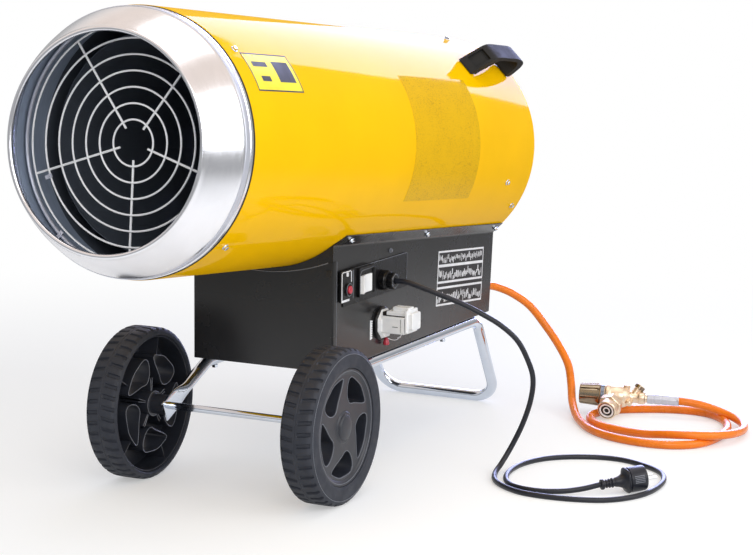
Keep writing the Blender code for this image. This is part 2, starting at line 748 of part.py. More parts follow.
def make_burner(finish, drum):
    """The dished burner plate, its gas jet, and the ignition electrode beside it"""
    rim = (CHAMBER_RADIUS - CHAMBER_WALL) * math.cos(math.pi / CHAMBER_SEGMENTS) - GAP
    bore = JET_RADIUS + GAP
    rear = BURNER_PLACE + BURNER_DEPTH
    outline = (
        (BURNER_PLACE, rim), (rear, rim - BURNER_SHEET),
        (rear, BURNER_DISH), (rear + BURNER_DEPTH, bore),
        (rear + BURNER_DEPTH - BURNER_SHEET, bore), (rear - BURNER_SHEET, BURNER_DISH),
        (rear - BURNER_SHEET, rim - BURNER_SHEET - BURNER_SHEET), (BURNER_PLACE, rim - BURNER_SHEET),
    )
    plate = add_object("burner_plate", spun(outline, CHAMBER_SEGMENTS, "Y"), finish["bright"], drum)
    slots = bmesh.new()
    for index in range(BURNER_SLOTS):
        slot = block(
            (-SLOT_LENGTH / 2, rear - BURNER_DEPTH, SLOT_PLACE - SLOT_WIDTH / 2),
            (SLOT_LENGTH / 2, rear + BURNER_DEPTH, SLOT_PLACE + SLOT_WIDTH / 2),
        )
        slot.transform(Matrix.Rotation(math.tau * index / BURNER_SLOTS, 4, "Y"))
        add_bm(slots, slot)
    cut(plate, add_object("burner_slots", slots, None, drum, cutter=True))
    jet_front = rear + BURNER_DEPTH - JET_LENGTH / 2
    collar = rear + BURNER_DEPTH + GAP
    jet_outline = (
        (jet_front, 0), (jet_front, JET_RADIUS / 2), (jet_front + JET_RADIUS / 2, JET_RADIUS),
        (collar, JET_RADIUS), (collar, JET_COLLAR), (collar + JET_COLLAR / 2, JET_COLLAR),
        (collar + JET_COLLAR / 2, JET_RADIUS), (jet_front + JET_LENGTH, JET_RADIUS),
        (jet_front + JET_LENGTH, 0),
    )
    add_object("gas_jet", spun(jet_outline, PIPE_SIDES, "Y", closed=False), finish["brass"], drum)
    slope = (rear + BURNER_DEPTH) - (BURNER_DEPTH * (ELECTRODE_OFFSET - bore) / (BURNER_DISH - bore))
    hole = drilled(rear - BURNER_DEPTH, rear + BURNER_DEPTH, ELECTRODE_RADIUS, PIPE_SIDES)
    cut(plate, add_object("electrode_hole", hole, None, drum, (0, 0, ELECTRODE_OFFSET), cutter=True))
    back = slope + ELECTRODE_LENGTH / 2
    front = slope - ELECTRODE_LENGTH / 2
    neck = ELECTRODE_RADIUS
    electrode_outline = (
        (front - ELECTRODE_LENGTH / 2, 0), (front - ELECTRODE_LENGTH / 2, ELECTRODE_WIRE),
        (front, ELECTRODE_WIRE), (front, neck), (back, neck), (back, 0),
    )
    add_object(
        "ignition_electrode", spun(electrode_outline, PIPE_SIDES, "Y", closed=False),
        finish["ceramic"], drum, (0, 0, ELECTRODE_OFFSET),
    )
    return jet_front + JET_LENGTH


def make_gas_pipe(finish, jet_end):
    """The rigid gas pipe from the valve, up through the casing's belly, to the jet"""
    drop = drum_to_world((0, GAS_PIPE_DROP_PLACE, -GAS_PIPE_RUN_DEPTH))
    valve_face = valve_span()[0] - GAP
    corners = (
        (VALVE_X, valve_face, drop.z),
        (VALVE_X, drop.y, drop.z),
        drop,
        drum_to_world((0, GAS_PIPE_DROP_PLACE, 0)),
        drum_to_world((0, jet_end + GAP, 0)),
    )
    path = fillet_path(corners, GAS_PIPE_BEND)
    add_object("gas_pipe", pipe(path, GAS_PIPE_RADIUS, PIPE_SIDES), finish["brass"])


def make_motor(finish, drum):
    """Fan motor, its three-armed mount, and the fan"""
    end = MOTOR_PLACE + MOTOR_LENGTH
    shaft_end = end + MOTOR_NOSE + SHAFT_LENGTH
    outline = (
        (MOTOR_PLACE, 0), (MOTOR_PLACE, MOTOR_RADIUS - MOTOR_NOSE), (MOTOR_PLACE + MOTOR_NOSE, MOTOR_RADIUS),
        (end, MOTOR_RADIUS), (end + MOTOR_NOSE, MOTOR_RADIUS / 2), (end + MOTOR_NOSE, SHAFT_RADIUS),
        (shaft_end, SHAFT_RADIUS), (shaft_end, 0),
    )
    steps = DRUM_SEGMENTS // 3
    add_object("fan_motor", spun(outline, steps, "Y", closed=False), finish["black"], drum)

    ring_inner = MOTOR_RADIUS + GAP
    ring_outer = ring_inner + MOUNT_WALL
    ring_start = MOTOR_PLACE + (MOTOR_LENGTH - MOUNT_WIDTH) / 2
    ring_end = ring_start + MOUNT_WIDTH
    ring = spun(
        ((ring_start, ring_outer), (ring_end, ring_outer), (ring_end, ring_inner), (ring_start, ring_inner)),
        steps, "Y",
    )
    mount = add_object("motor_mount", ring, finish["black"], drum)
    arms = bmesh.new()
    outer = (DRUM_RADIUS - DRUM_WALL) * math.cos(math.pi / DRUM_SEGMENTS) - GAP
    root = (ring_inner + MOUNT_WALL / 2)
    for index in range(MOUNT_ARMS):
        arm = block(
            (-MOUNT_ARM_SHEET / 2, ring_start + MOUNT_ARM_SHEET, root),
            (MOUNT_ARM_SHEET / 2, ring_end - MOUNT_ARM_SHEET, outer),
        )
        arm.transform(Matrix.Rotation(math.tau * (index + 1 / 2) / MOUNT_ARMS, 4, "Y"))
        add_bm(arms, arm)
    join(mount, add_object("mount_arms", arms, None, drum, cutter=True))

    axis = empty("fan_axis", (0, FAN_PLACE, 0))
    axis.parent = drum
    bore = SHAFT_RADIUS + GAP
    hub = (
        (0, bore), (0, FAN_HUB_RADIUS), (FAN_HUB_LENGTH, FAN_HUB_RADIUS - MOTOR_NOSE), (FAN_HUB_LENGTH, bore),
    )
    fan = add_object("fan_impeller", spun(hub, steps, "Y"), finish["bright"], axis)
    blades = bmesh.new()
    for index in range(FAN_BLADES):
        blade = fan_blade()
        blade.transform(Matrix.Rotation(math.tau * index / FAN_BLADES, 4, "Y"))
        add_bm(blades, blade)
    join(fan, add_object("fan_blades", blades, None, axis, cutter=True))


def fan_blade():
    """One twisted blade, pointing up from the hub"""
    rings = []
    stations = 4
    root = FAN_HUB_RADIUS - MOTOR_NOSE - OVERRUN
    middle = FAN_HUB_LENGTH / 2
    for step in range(stations + 1):
        share = step / stations
        radius = root + (FAN_RADIUS - root) * share
        pitch = FAN_ROOT_PITCH + (FAN_TIP_PITCH - FAN_ROOT_PITCH) * share
        chord = FAN_CHORD * (1 / 2 + share / 2)
        along = Vector((math.cos(pitch), math.sin(pitch), 0)) * chord / 2
        thick = Vector((-math.sin(pitch), math.cos(pitch), 0)) * FAN_BLADE_SHEET / 2
        centre = Vector((0, middle, radius))
        rings.append([
            centre - along - thick, centre + along - thick, centre + along + thick, centre - along + thick,
        ])
    return lofted(rings)


def flange_corner(distance, reach):
    """A point of the tray's flange, which lies flat on the drum, in (x, depth)

    distance is the flange face's distance from the drum axis; reach is measured along the flange from
    its middle, where it touches the drum
    """
    lean = flange_lean()
    x = distance * math.sin(lean) + reach * math.cos(lean)
    depth = distance * math.cos(lean) - reach * math.sin(lean)
    return x, depth


def flange_lean():
    """How far the flange's touching line is turned from straight down"""
    distance = DRUM_RADIUS + GAP + BOX_SHEET
    half = FLANGE_WIDTH / 2
    return math.asin(TRAY_HALF_WIDTH / math.hypot(distance, half)) + math.atan2(half, distance)


def tray_section(station):
    """The tray's cross-section as 3-D points; station places (x, depth) or (x, None, height)"""
    half = FLANGE_WIDTH / 2
    outer = DRUM_RADIUS + GAP + BOX_SHEET
    inner = DRUM_RADIUS + GAP
    lean = flange_lean()
    fold = (TRAY_INNER - inner * math.sin(lean)) / math.cos(lean)
    right = [
        station(*flange_corner(outer, half)),
        station(TRAY_HALF_WIDTH, flange_corner(outer, -half)[1]),
        station(TRAY_HALF_WIDTH, None, BOX_BOTTOM),
    ]
    right_inside = [
        station(TRAY_INNER, None, TRAY_FLOOR),
        station(TRAY_INNER, flange_corner(inner, fold)[1]),
        station(*flange_corner(inner, half)),
    ]
    left = [Vector((-point.x, point.y, point.z)) for point in reversed(right)]
    left_inside = [Vector((-point.x, point.y, point.z)) for point in reversed(right_inside)]
    return right + left + left_inside + right_inside


def make_tray(finish):
    """The bent sheet tray under the drum, with flanges that lie on the drum"""
    front_y = BOX_FRONT + BOX_SHEET + GAP

    def front(x, depth, height=None):
        if depth is None:
            return Vector((x, front_y, height))
        return drum_to_world((x, along_at(front_y, depth), -depth))

    def rear(x, depth, height=None):
        if depth is None:
            depth = drum_depth_at(height, BOX_REAR_PLACE)
        return drum_to_world((x, BOX_REAR_PLACE, -depth))

    near = tray_section(front)
    far = tray_section(rear)
    bm = bmesh.new()
    near_verts = [bm.verts.new(point) for point in near]
    far_verts = [bm.verts.new(point) for point in far]
    count = len(near)
    for index in range(count):
        after = (index + 1) % count
        bm.faces.new((near_verts[index], near_verts[after], far_verts[after], far_verts[index]))
    for index in range(count // 2 - 1):
        for row in (near_verts, far_verts):
            bm.faces.new((row[index], row[index + 1], row[count - 2 - index], row[count - 1 - index]))
    tray = add_object("housing_tray", bm, finish["black"])
    holes = bmesh.new()
    add_bm(holes, bolt_holes())
    stem = drilled(TRAY_INNER - OVERRUN, WALL_FACE + OVERRUN, GLAND_STEM_RADIUS, FRAME_SIDES, "X")
    stem.transform(Matrix.Translation((0, BOX_FRONT + GLAND_PLACE, BOX_BOTTOM + GLAND_HEIGHT)))
    add_bm(holes, stem)
    cut(tray, add_object("tray_holes", holes, None, cutter=True))


def bolt_holes():
    """Round cuts for the four frame bolts"""
    holes = bmesh.new()
    for x, y in bolt_spots():
        low = FRAME_RUN_HEIGHT - FRAME_TUBE_RADIUS - OVERRUN
        hole = drilled(low, TRAY_FLOOR + OVERRUN, BOLT_RADIUS, PIPE_SIDES, "Z")
        hole.transform(Matrix.Translation((x, y, 0)))
        add_bm(holes, hole)
    return holes


def bolt_spots():
    """Where the frame bolts stand, in X and Y"""
    return [(side * FRAME_HALF_WIDTH, BOX_FRONT + place) for place in BOLT_PLACES for side in (1, -1)]


def make_front_cover(finish):
    """The front cover: a plate with side returns and a hollowed top edge, and the saddle behind it"""
    arc_centre = BOX_BOTTOM + COVER_ARC_RISE + COVER_ARC_RADIUS
    outline = [Vector((BOX_HALF_WIDTH, BOX_FRONT, BOX_BOTTOM))]
    for step in range(ARC_STEPS + 1):
        x = COVER_ARC_HALF_WIDTH * (1 - 2 * step / ARC_STEPS)
        outline.append(Vector((x, BOX_FRONT, arc_centre - math.sqrt(COVER_ARC_RADIUS ** 2 - x ** 2))))
    top = outline[1].z
    outline.insert(1, Vector((BOX_HALF_WIDTH, BOX_FRONT, top)))
    outline.append(Vector((-BOX_HALF_WIDTH, BOX_FRONT, top)))
    outline.append(Vector((-BOX_HALF_WIDTH, BOX_FRONT, BOX_BOTTOM)))
    cover = add_object("housing_front", slab(outline, (0, BOX_SHEET, 0)), finish["black"])
    returns = bmesh.new()
    for side in (1, -1):
        edges = sorted((side * BOX_HALF_WIDTH, side * (BOX_HALF_WIDTH - BOX_SHEET)))
        low = (edges[0], BOX_FRONT + BOX_SHEET / 2, BOX_BOTTOM)
        add_bm(returns, block(low, (edges[1], BOX_FRONT + BOX_RETURN, top)))
    join(cover, add_object("cover_returns", returns, None, cutter=True))

    reach = TRAY_INNER - GAP
    face = BOX_FRONT + BOX_SHEET + GAP
    low = TRAY_FLOOR + GAP
    saddle = [Vector((reach, face, low))]
    hollow = DRUM_RADIUS + GAP + GAP
    for step in range(ARC_STEPS + 1):
        x = reach * (1 - 2 * step / ARC_STEPS)
        depth = math.sqrt(hollow ** 2 - x ** 2)
        edge = drum_to_world((x, along_at(face + BOX_SHEET, depth), -depth))
        saddle.append(Vector((x, face, edge.z)))
    saddle.append(Vector((-reach, face, low)))
    add_object("front_saddle", slab(saddle, (0, BOX_SHEET, 0)), finish["black"])


def inlet_station():
    """Where the gas inlet meets the rear panel's outer face: station along the drum, and depth"""
    along = BOX_REAR_PLACE - REAR_PANEL_INSET
    return along, drum_depth_at(BOX_BOTTOM + INLET_HEIGHT, along)


def valve_span():
    """The gas valve's first and last Y, ahead of the inlet's stem"""
    along, depth = inlet_station()
    slack = INLET_STEM_RADIUS * math.tan(DRUM_TILT)
    end = drum_to_world((0, along - INLET_STEM_LENGTH - slack, -depth)).y - GAP
    return end - VALVE_LENGTH, end


def make_rear_panel(finish, drum):
    """The rear panel inside the tray, with the gas inlet's hole"""
    reach = TRAY_INNER - GAP
    along = BOX_REAR_PLACE - REAR_PANEL_INSET - BOX_SHEET
    low = drum_depth_at(TRAY_FLOOR + GAP, along)
    hollow = DRUM_RADIUS + GAP + GAP
    outline = [Vector((reach, along, -low))]
    for step in range(ARC_STEPS + 1):
        x = reach * (1 - 2 * step / ARC_STEPS)
        outline.append(Vector((x, along, -math.sqrt(hollow ** 2 - x ** 2))))
    outline.append(Vector((-reach, along, -low)))
    panel = add_object("housing_rear", slab(outline, (0, BOX_SHEET, 0)), finish["black"], drum)
    along, depth = inlet_station()
    inlet = empty("inlet_axis", (VALVE_X, along, -depth))
    inlet.parent = drum
    hole = drilled(-OVERRUN, OVERRUN, INLET_STEM_RADIUS, PIPE_SIDES)
    cut(panel, add_object("inlet_hole", hole, None, inlet, cutter=True))
    stem = INLET_STEM_LENGTH
    nut_end = GAP + INLET_NUT_LENGTH
    barb_end = nut_end + INLET_BARB_LENGTH
    fitting = (
        (-stem, 0), (-stem, INLET_STEM_RADIUS), (GAP, INLET_STEM_RADIUS), (GAP, INLET_NUT_RADIUS),
        (nut_end, INLET_NUT_RADIUS), (nut_end, INLET_BARB_RADIUS), (barb_end, INLET_BARB_RADIUS),
        (barb_end, 0),
    )
    add_object("gas_inlet_fitting", spun(fitting, PIPE_SIDES, "Y", closed=False), finish["bright"], inlet)
    start = drum_to_world((VALVE_X, along + barb_end + GAP, -depth))
    straight = drum_to_world((VALVE_X, along + barb_end + HOSE_RADIUS, -depth))
    return start, straight


def make_inside(finish):
    """Gas valve and ignition transformer on the tray's floor"""
    start, end = valve_span()
    low = TRAY_FLOOR + GAP
    valve = block(
        (VALVE_X - VALVE_WIDTH / 2, start, low), (VALVE_X + VALVE_WIDTH / 2, end, low + VALVE_HEIGHT),
    )
    add_object("gas_valve", valve, finish["brass"])
    start = BOX_FRONT + TRANSFORMER_START
    transformer = block(
        (TRANSFORMER_X - TRANSFORMER_WIDTH / 2, start, low),
        (TRANSFORMER_X + TRANSFORMER_WIDTH / 2, start + TRANSFORMER_LENGTH, low + TRANSFORMER_HEIGHT),
    )
    add_object("ignition_transformer", transformer, finish["plastic"])


def make_handles(finish, drum):
    """A mirrored pair of strap handles on the drum"""
    base = DRUM_RADIUS + GAP
    outer_shares = (
        (0, 0), (0, 0.07), (0.24, 0.97), (0.30, 1), (0.80, 1), (0.91, 0.93), (0.98, 0.78), (1, 0.52),
        (0.98, 0),
    )
    inner_shares = (
        (0.84, 0), (0.86, 0.40), (0.83, 0.60), (0.78, 0.72), (0.31, 0.72), (0.135, 0.07), (0.135, 0),
    )
    outline = [
        Vector((-HANDLE_WIDTH / 2, HANDLE_START + HANDLE_LENGTH * along, base + HANDLE_HEIGHT * out))
        for along, out in outer_shares + inner_shares
    ]
    for name, side in (("handle_right", 1), ("handle_left", -1)):
        turned = empty(name + "_seat", (0, 0, 0), (0, side * HANDLE_ANGLE, 0))
        turned.parent = drum
        handle = add_object(name, slab(outline, (HANDLE_WIDTH, 0, 0)), finish["plastic"], turned)
        bevel(handle, HANDLE_BEVEL)


def tab_ring(point, across, up, half_height, half_thickness, squareness):
    """One cross-section of the frame tube, round or pressed flat"""
    ring = []
    for index in range(FRAME_SIDES):
        turn = math.tau * index / FRAME_SIDES
        wide = math.copysign(abs(math.cos(turn)) ** squareness, math.cos(turn))
        high = math.copysign(abs(math.sin(turn)) ** squareness, math.sin(turn))
        ring.append(point + across * wide * half_thickness + up * high * half_height)
    return ring


def make_frame(finish):
    """The single bent tube: pressed ends on the axle, runs under the box, and a foot across the rear"""
    front = Vector((0, BOX_FRONT + FRAME_FRONT_CORNER, FRAME_RUN_HEIGHT))
    rear = Vector((0, BOX_FRONT + FRAME_REAR_CORNER, FRAME_RUN_HEIGHT))
    foot = Vector((0, rear.y + FRAME_FOOT_BEHIND, FRAME_TUBE_RADIUS))
    ahead = (AXLE_PLACE - front).normalized()
    tip = AXLE_PLACE + ahead * TAB_REACH
    reach = Vector((FRAME_HALF_WIDTH, 0, 0))
    corners = [tip + reach, front + reach, rear + reach, foot + reach]
    mirrored = [Vector((-corner.x, corner.y, corner.z)) for corner in reversed(corners)]
    path = fillet_path(corners + mirrored, FRAME_BEND_RADIUS)
    flat_end = AXLE_PLACE + reach - ahead * TAB_REACH
    round_start = AXLE_PLACE + reach - ahead * TAB_LENGTH
    path = [path[0], flat_end, round_start] + path[1:-1]
    for point in (round_start, flat_end, tip + reach):
        path.append(Vector((-point.x, point.y, point.z)))
    rings = []
    last = len(path) - 1
    for index, (point, across, up) in enumerate(carried_frames(path, (1, 0, 0))):
        if min(index, last - index) < 2:
            ring = tab_ring(point, across, up, TAB_HALF_HEIGHT, TAB_HALF_THICKNESS, TAB_SQUARENESS)
        else:
            ring = tab_ring(point, across, up, FRAME_TUBE_RADIUS, FRAME_TUBE_RADIUS, 1)
        rings.append(ring)
    frame = add_object("frame_tube", lofted(rings), finish["chrome"])
    holes = bolt_holes()
    reach = FRAME_HALF_WIDTH + TAB_HALF_THICKNESS + OVERRUN
    axle_hole = drilled(-reach, reach, AXLE_RADIUS, FRAME_SIDES, "X")
    axle_hole.transform(Matrix.Translation(AXLE_PLACE))
    add_bm(holes, axle_hole)
    cut(frame, add_object("frame_holes", holes, None, cutter=True))


def make_bolts(finish):
    """Hex bolts up through the frame tube and the tray's floor"""
    under = FRAME_RUN_HEIGHT - FRAME_TUBE_RADIUS - GAP
    nut = TRAY_FLOOR + GAP
    outline = (
        (under - BOLT_HEAD_LENGTH, 0), (under - BOLT_HEAD_LENGTH, BOLT_HEAD_RADIUS),
        (under, BOLT_HEAD_RADIUS), (under, BOLT_RADIUS), (nut, BOLT_RADIUS), (nut, BOLT_HEAD_RADIUS),
        (nut + BOLT_NUT_LENGTH, BOLT_HEAD_RADIUS), (nut + BOLT_NUT_LENGTH, 0),
    )
    for number, (x, y) in enumerate(bolt_spots(), start=1):
        bolt = spun(outline, 6, "Z", closed=False)
        add_object("frame_bolt_%d" % number, bolt, finish["chrome"], None, (x, y, 0))


def make_axle(finish):
    """The axle through both tabs, and a washer inside each wheel"""
    half = WHEEL_OUTER_FACE - RIM_RECESS - HUB_CAP_SEAT
    add_object("axle", rod(-half, half, AXLE_RADIUS, FRAME_SIDES, "X"), finish["chrome"], None, AXLE_PLACE)
    near = FRAME_HALF_WIDTH + TAB_HALF_THICKNESS + GAP
    far = near + WASHER_THICKNESS
    bore = AXLE_RADIUS + GAP
    section = ((near, bore), (near, WASHER_RADIUS), (far, WASHER_RADIUS), (far, bore))
    for name, side in (("axle_washer_right", 1), ("axle_washer_left", -1)):
        outline = [(side * x, radius) for x, radius in section]
        add_object(name, spun(outline, FRAME_SIDES, "X"), finish["chrome"], None, AXLE_PLACE)


def make_wheel(finish, name, side):
    """One wheel: a moulded rim with swept windows, a lugged tyre, and a hub cap"""
    axis = empty("wheel_axis_" + name, AXLE_PLACE)
    make_tyre(finish["rubber"], name, side, axis)
    outer = WHEEL_OUTER_FACE - RIM_RECESS
    face = outer - RIM_WEB
    inner_edge = WHEEL_OUTER_FACE - TYRE_WIDTH + RIM_RECESS
    hub_end = FRAME_HALF_WIDTH + TAB_HALF_THICKNESS + GAP + WASHER_THICKNESS + GAP
    seat = TYRE_BORE - GAP
    bore = AXLE_RADIUS + GAP
    cap_bore = HUB_CAP_RADIUS + GAP
    outline = (
        (hub_end, bore), (outer - HUB_CAP_SEAT, bore), (outer - HUB_CAP_SEAT, cap_bore),
        (outer + RIM_RECESS / 2, cap_bore), (outer, HUB_BOSS_RADIUS),
        (outer, seat - RIM_BAND_WALL - RIM_RECESS), (outer + RIM_RECESS / 2, seat - RIM_BAND_WALL),
        (outer + RIM_RECESS / 2, seat), (inner_edge, seat), (inner_edge, seat - RIM_BAND_WALL),
        (face, seat - RIM_BAND_WALL), (face, HUB_RADIUS), (hub_end, HUB_RADIUS),
    )
    outline = [(side * x, radius) for x, radius in outline]
    rim = add_object("wheel_rim_" + name, spun(outline, RIM_STEPS, "X"), finish["plastic"], axis)
    windows = bmesh.new()
    for index in range(WINDOW_COUNT):
        window = slab(window_outline(side, face - OVERRUN), (side * (RIM_WEB + OVERRUN + OVERRUN), 0, 0))
        window.transform(Matrix.Rotation(math.tau * index / WINDOW_COUNT, 4, "X"))
        add_bm(windows, window)
    cut(rim, add_object("windows_" + name, windows, None, axis, cutter=True))
    start = outer - HUB_CAP_SEAT + GAP
    top = outer + RIM_RECESS / 2
    dome_shares = ((0, 1), (0.7, 0.75), (1, 0.35), (1, 0))
    cap = [(side * start, 0), (side * start, HUB_CAP_RADIUS)]
    for rise, radius in dome_shares:
        cap.append((side * (top + HUB_CAP_DOME * rise), HUB_CAP_RADIUS * radius))
    cap = spun(cap, DRUM_SEGMENTS // 3, "X", closed=False)
    add_object("hub_cap_" + name, cap, finish["plastic"], axis)


def window_outline(side, x):
    """A swept teardrop between two rim spokes, as points square to the axle; both wheels are one part"""
    shares = (
        (0.03, 0.35), (0.04, 0.18), (0.28, 0.00), (0.64, -0.02), (0.91, 0.03), (1.00, 0.15), (1.00, 0.60),
        (0.97, 1.03), (0.64, 0.93), (0.36, 0.75), (0.18, 0.55),
    )
    sweep = math.tau / WINDOW_COUNT * WINDOW_SWEEP_SHARE
    points = []
    for out, turn in shares:
        radius = WINDOW_INNER + (WINDOW_OUTER - WINDOW_INNER) * out
        angle = WINDOW_TURN + sweep * (turn - 1 / 2)
        points.append(Vector((side * x, side * radius * math.sin(angle), radius * math.cos(angle))))
    return points


def make_tyre(finish, name, side, axis):
    """A solid tyre whose shoulders are notched between the lugs, standing on a flat facet"""
    outer = WHEEL_RADIUS / math.cos(math.pi / TYRE_STEPS)
    low = WHEEL_OUTER_FACE - TYRE_WIDTH
    high = WHEEL_OUTER_FACE
    rings = []
    for step in range(TYRE_STEPS):
        turn = math.tau * (step + 1 / 2) / TYRE_STEPS
        notch = LUG_DEPTH if step % 2 else 0
        other = LUG_DEPTH - notch
        section = (
            (low, TYRE_BORE), (low, outer - LUG_CHAMFER - notch), (low + LUG_CHAMFER, outer - notch),
            (low + LUG_BAND, outer), (high - LUG_BAND, outer), (high - LUG_CHAMFER, outer - other),
            (high, outer - LUG_CHAMFER - other), (high, TYRE_BORE),
        )
        rings.append([
            Vector((side * x, radius * math.sin(turn), -radius * math.cos(turn))) for x, radius in section
        ])
    add_object("tyre_" + name, lofted(rings, closed_path=True), finish, axis)


def side_spot(back, up):
    """A place on the control side, from the box front and the box floor"""
    return BOX_FRONT + back, BOX_BOTTOM + up


def make_controls(finish):
    """Plate, reset button and rocker switch on the control side"""
    plate_x = WALL_FACE + GAP
    plate_face = plate_x + PLATE_SHEET
    y, z = side_spot(PLATE_START, PLATE_LOW)
    plate = block((plate_x, y, z), (plate_face, y + PLATE_LENGTH, BOX_BOTTOM + PLATE_HIGH))
    plate = add_object("control_plate", plate, finish["plastic"])
    y, z = side_spot(GLAND_PLACE, GLAND_HEIGHT)
    hole = drilled(plate_x - OVERRUN, plate_face + OVERRUN, GLAND_STEM_RADIUS, FRAME_SIDES, "X")
    cut(plate, add_object("gland_hole", hole, None, None, (0, y, z), cutter=True))

    seat = max(plate_face, BOX_HALF_WIDTH) + GAP
    y, z = side_spot(RESET_START, RESET_LOW)
    body = block((seat, y, z), (seat + RESET_DEPTH, y + RESET_LENGTH, BOX_BOTTOM + RESET_HIGH))
    housing = add_object("reset_housing", body, finish["plastic"])
    y, z = side_spot(RESET_PLACE, RESET_HEIGHT)
    face = seat + RESET_DEPTH
    collar = rod(face - GAP, face + RESET_COLLAR_DEPTH, RESET_COLLAR_RADIUS, DRUM_SEGMENTS // 3, "X")
    join(housing, add_object("reset_collar", collar, None, None, (0, y, z), cutter=True))
    floor = face - RESET_DEPTH / 2
    steps = DRUM_SEGMENTS // 3
    bore = rod(floor, face + RESET_COLLAR_DEPTH + OVERRUN, RESET_BUTTON_RADIUS + GAP, steps, "X")
    cut(housing, add_object("reset_bore", bore, None, None, (0, y, z), cutter=True))
    start = floor + RESET_TRAVEL + GAP
    end = face + RESET_COLLAR_DEPTH + RESET_BUTTON_PROUD - RESET_TRAVEL
    button = (
        (start, 0), (start, RESET_BUTTON_RADIUS), (end - RESET_TRAVEL / 2, RESET_BUTTON_RADIUS),
        (end, RESET_CROWN_RADIUS), (end, 0),
    )
    button = spun(button, steps, "X", closed=False)
    add_object("reset_button", button, finish["red"], None, (0, y, z))

    y, z = side_spot(BEZEL_START, BEZEL_LOW)
    bezel_x = plate_face + GAP
    bezel_face = bezel_x + BEZEL_DEPTH
    bezel = block((bezel_x, y, z), (bezel_face, y + BEZEL_LENGTH, BOX_BOTTOM + BEZEL_HIGH))
    bezel = add_object("rocker_bezel", bezel, finish["plastic"])
    y, z = side_spot(ROCKER_START, ROCKER_LOW)
    top = BOX_BOTTOM + ROCKER_HIGH
    well = block(
        (bezel_x + GAP, y - ROCKER_CLEARANCE, z - ROCKER_CLEARANCE),
        (bezel_face + OVERRUN, y + ROCKER_LENGTH + ROCKER_CLEARANCE, top + ROCKER_CLEARANCE),
    )
    cut(bezel, add_object("rocker_well", well, None, cutter=True))
    make_rocker(finish["white"], bezel_x, bezel_face)


def make_rocker(finish, bezel_x, bezel_face):
    """The rocker, which tips about an upright pin; modelled with its rear half pressed"""
    y, low = side_spot(ROCKER_START, ROCKER_LOW)
    middle = y + ROCKER_LENGTH / 2
    pivot = bezel_x + BEZEL_DEPTH / 2
    axis = empty("rocker_axis", (pivot, middle, low))
    half = ROCKER_LENGTH / 2 - ROCKER_CLEARANCE
    crown = bezel_face - pivot + ROCKER_PROUD
    valley = crown - half * math.tan(ROCKER_SWING)
    back = GAP - BEZEL_DEPTH / 2 + half * math.sin(ROCKER_SWING) + GAP
    outline = (
        Vector((valley, 0, 0)), Vector((crown, half, 0)), Vector((0, half, 0)), Vector((back, 0, 0)),
        Vector((0, -half, 0)), Vector((crown, -half, 0)),
    )
    rocker = add_object("rocker_switch", slab(outline, (0, 0, ROCKER_HIGH - ROCKER_LOW)), finish, axis)
    rocker.rotation_euler = (0, 0, ROCKER_SWING)


def make_gland(finish):
    """The cable gland: a stem through the wall, a body, and a ribbed nut"""
    y, z = side_spot(GLAND_PLACE, GLAND_HEIGHT)
    plate_face = WALL_FACE + GAP + PLATE_SHEET
    start = plate_face + GAP
    body_end = start + GLAND_BODY_LENGTH
    neck_end = body_end + GLAND_NUT_LENGTH / 2
    outline = (
        (plate_face - GLAND_STEM_LENGTH, 0), (plate_face - GLAND_STEM_LENGTH, GLAND_STEM_RADIUS),
        (start, GLAND_STEM_RADIUS), (start, GLAND_BODY_RADIUS), (body_end, GLAND_BODY_RADIUS),
        (body_end, GLAND_NECK_RADIUS), (neck_end, GLAND_NECK_RADIUS), (neck_end, 0),
    )
    body = spun(outline, DRUM_SEGMENTS // 3, "X", closed=False)
    add_object("gland_body", body, finish["plastic"], None, (0, y, z))
    near = body_end + GAP
    far = near + GLAND_NUT_LENGTH
    bore = bore_for(GLAND_NECK_RADIUS, FRAME_SIDES)
    hole = bore_for(CABLE_RADIUS, FRAME_SIDES)
    nut = (
        (near, bore), (near, GLAND_NUT_RADIUS), (far - OVERRUN / 2, GLAND_NUT_RADIUS),
        (far, GLAND_NUT_RADIUS - OVERRUN / 2), (far, hole), (neck_end + GAP, hole), (neck_end + GAP, bore),
    )
    add_object("gland_nut", spun(nut, FRAME_SIDES, "X"), finish["plastic"], None, (0, y, z))
    return Vector((neck_end + GAP, y, z)), Vector((far + GAP, y, z))


def make_socket(finish):
    """The round socket flange, and the white bridging plug in it"""
    y, z = side_spot(SOCKET_PLACE, SOCKET_HEIGHT)
    start = WALL_FACE + GAP
    face = start + SOCKET_DEPTH
    flange = rod(start, face, SOCKET_RADIUS, DRUM_SEGMENTS // 3, "X")
    add_object("socket_flange", flange, finish["plastic"], None, (0, y, z))
    base = face + GAP
    body_start = base + PLUG_BASE_DEPTH
    body_end = body_start + PLUG_BODY_LENGTH
    cap_end = body_end + PLUG_CAP_LENGTH
    plug = spun(
        ((base, 0), (base, PLUG_BASE_RADIUS), (body_start, PLUG_SHOULDER_RADIUS), (body_start, 0)),
        PIPE_SIDES, "X", closed=False, phase=math.pi / PIPE_SIDES,
    )
    plug = add_object("bridge_plug", plug, finish["white"], None, (0, y, z))
    half_width = PLUG_BODY_WIDTH / 2
    half_height = PLUG_BODY_HEIGHT / 2
    body = block((body_start - OVERRUN, -half_width, -half_height), (body_end, half_width, half_height))
    join(plug, add_object("plug_body", body, None, None, (0, y, z), cutter=True))
    half_width = PLUG_CAP_WIDTH / 2
    half_height = PLUG_CAP_HEIGHT / 2
    cap = block((body_end - OVERRUN, -half_width, -half_height), (cap_end, half_width, half_height))
    join(plug, add_object("plug_cap", cap, None, None, (0, y, z), cutter=True))


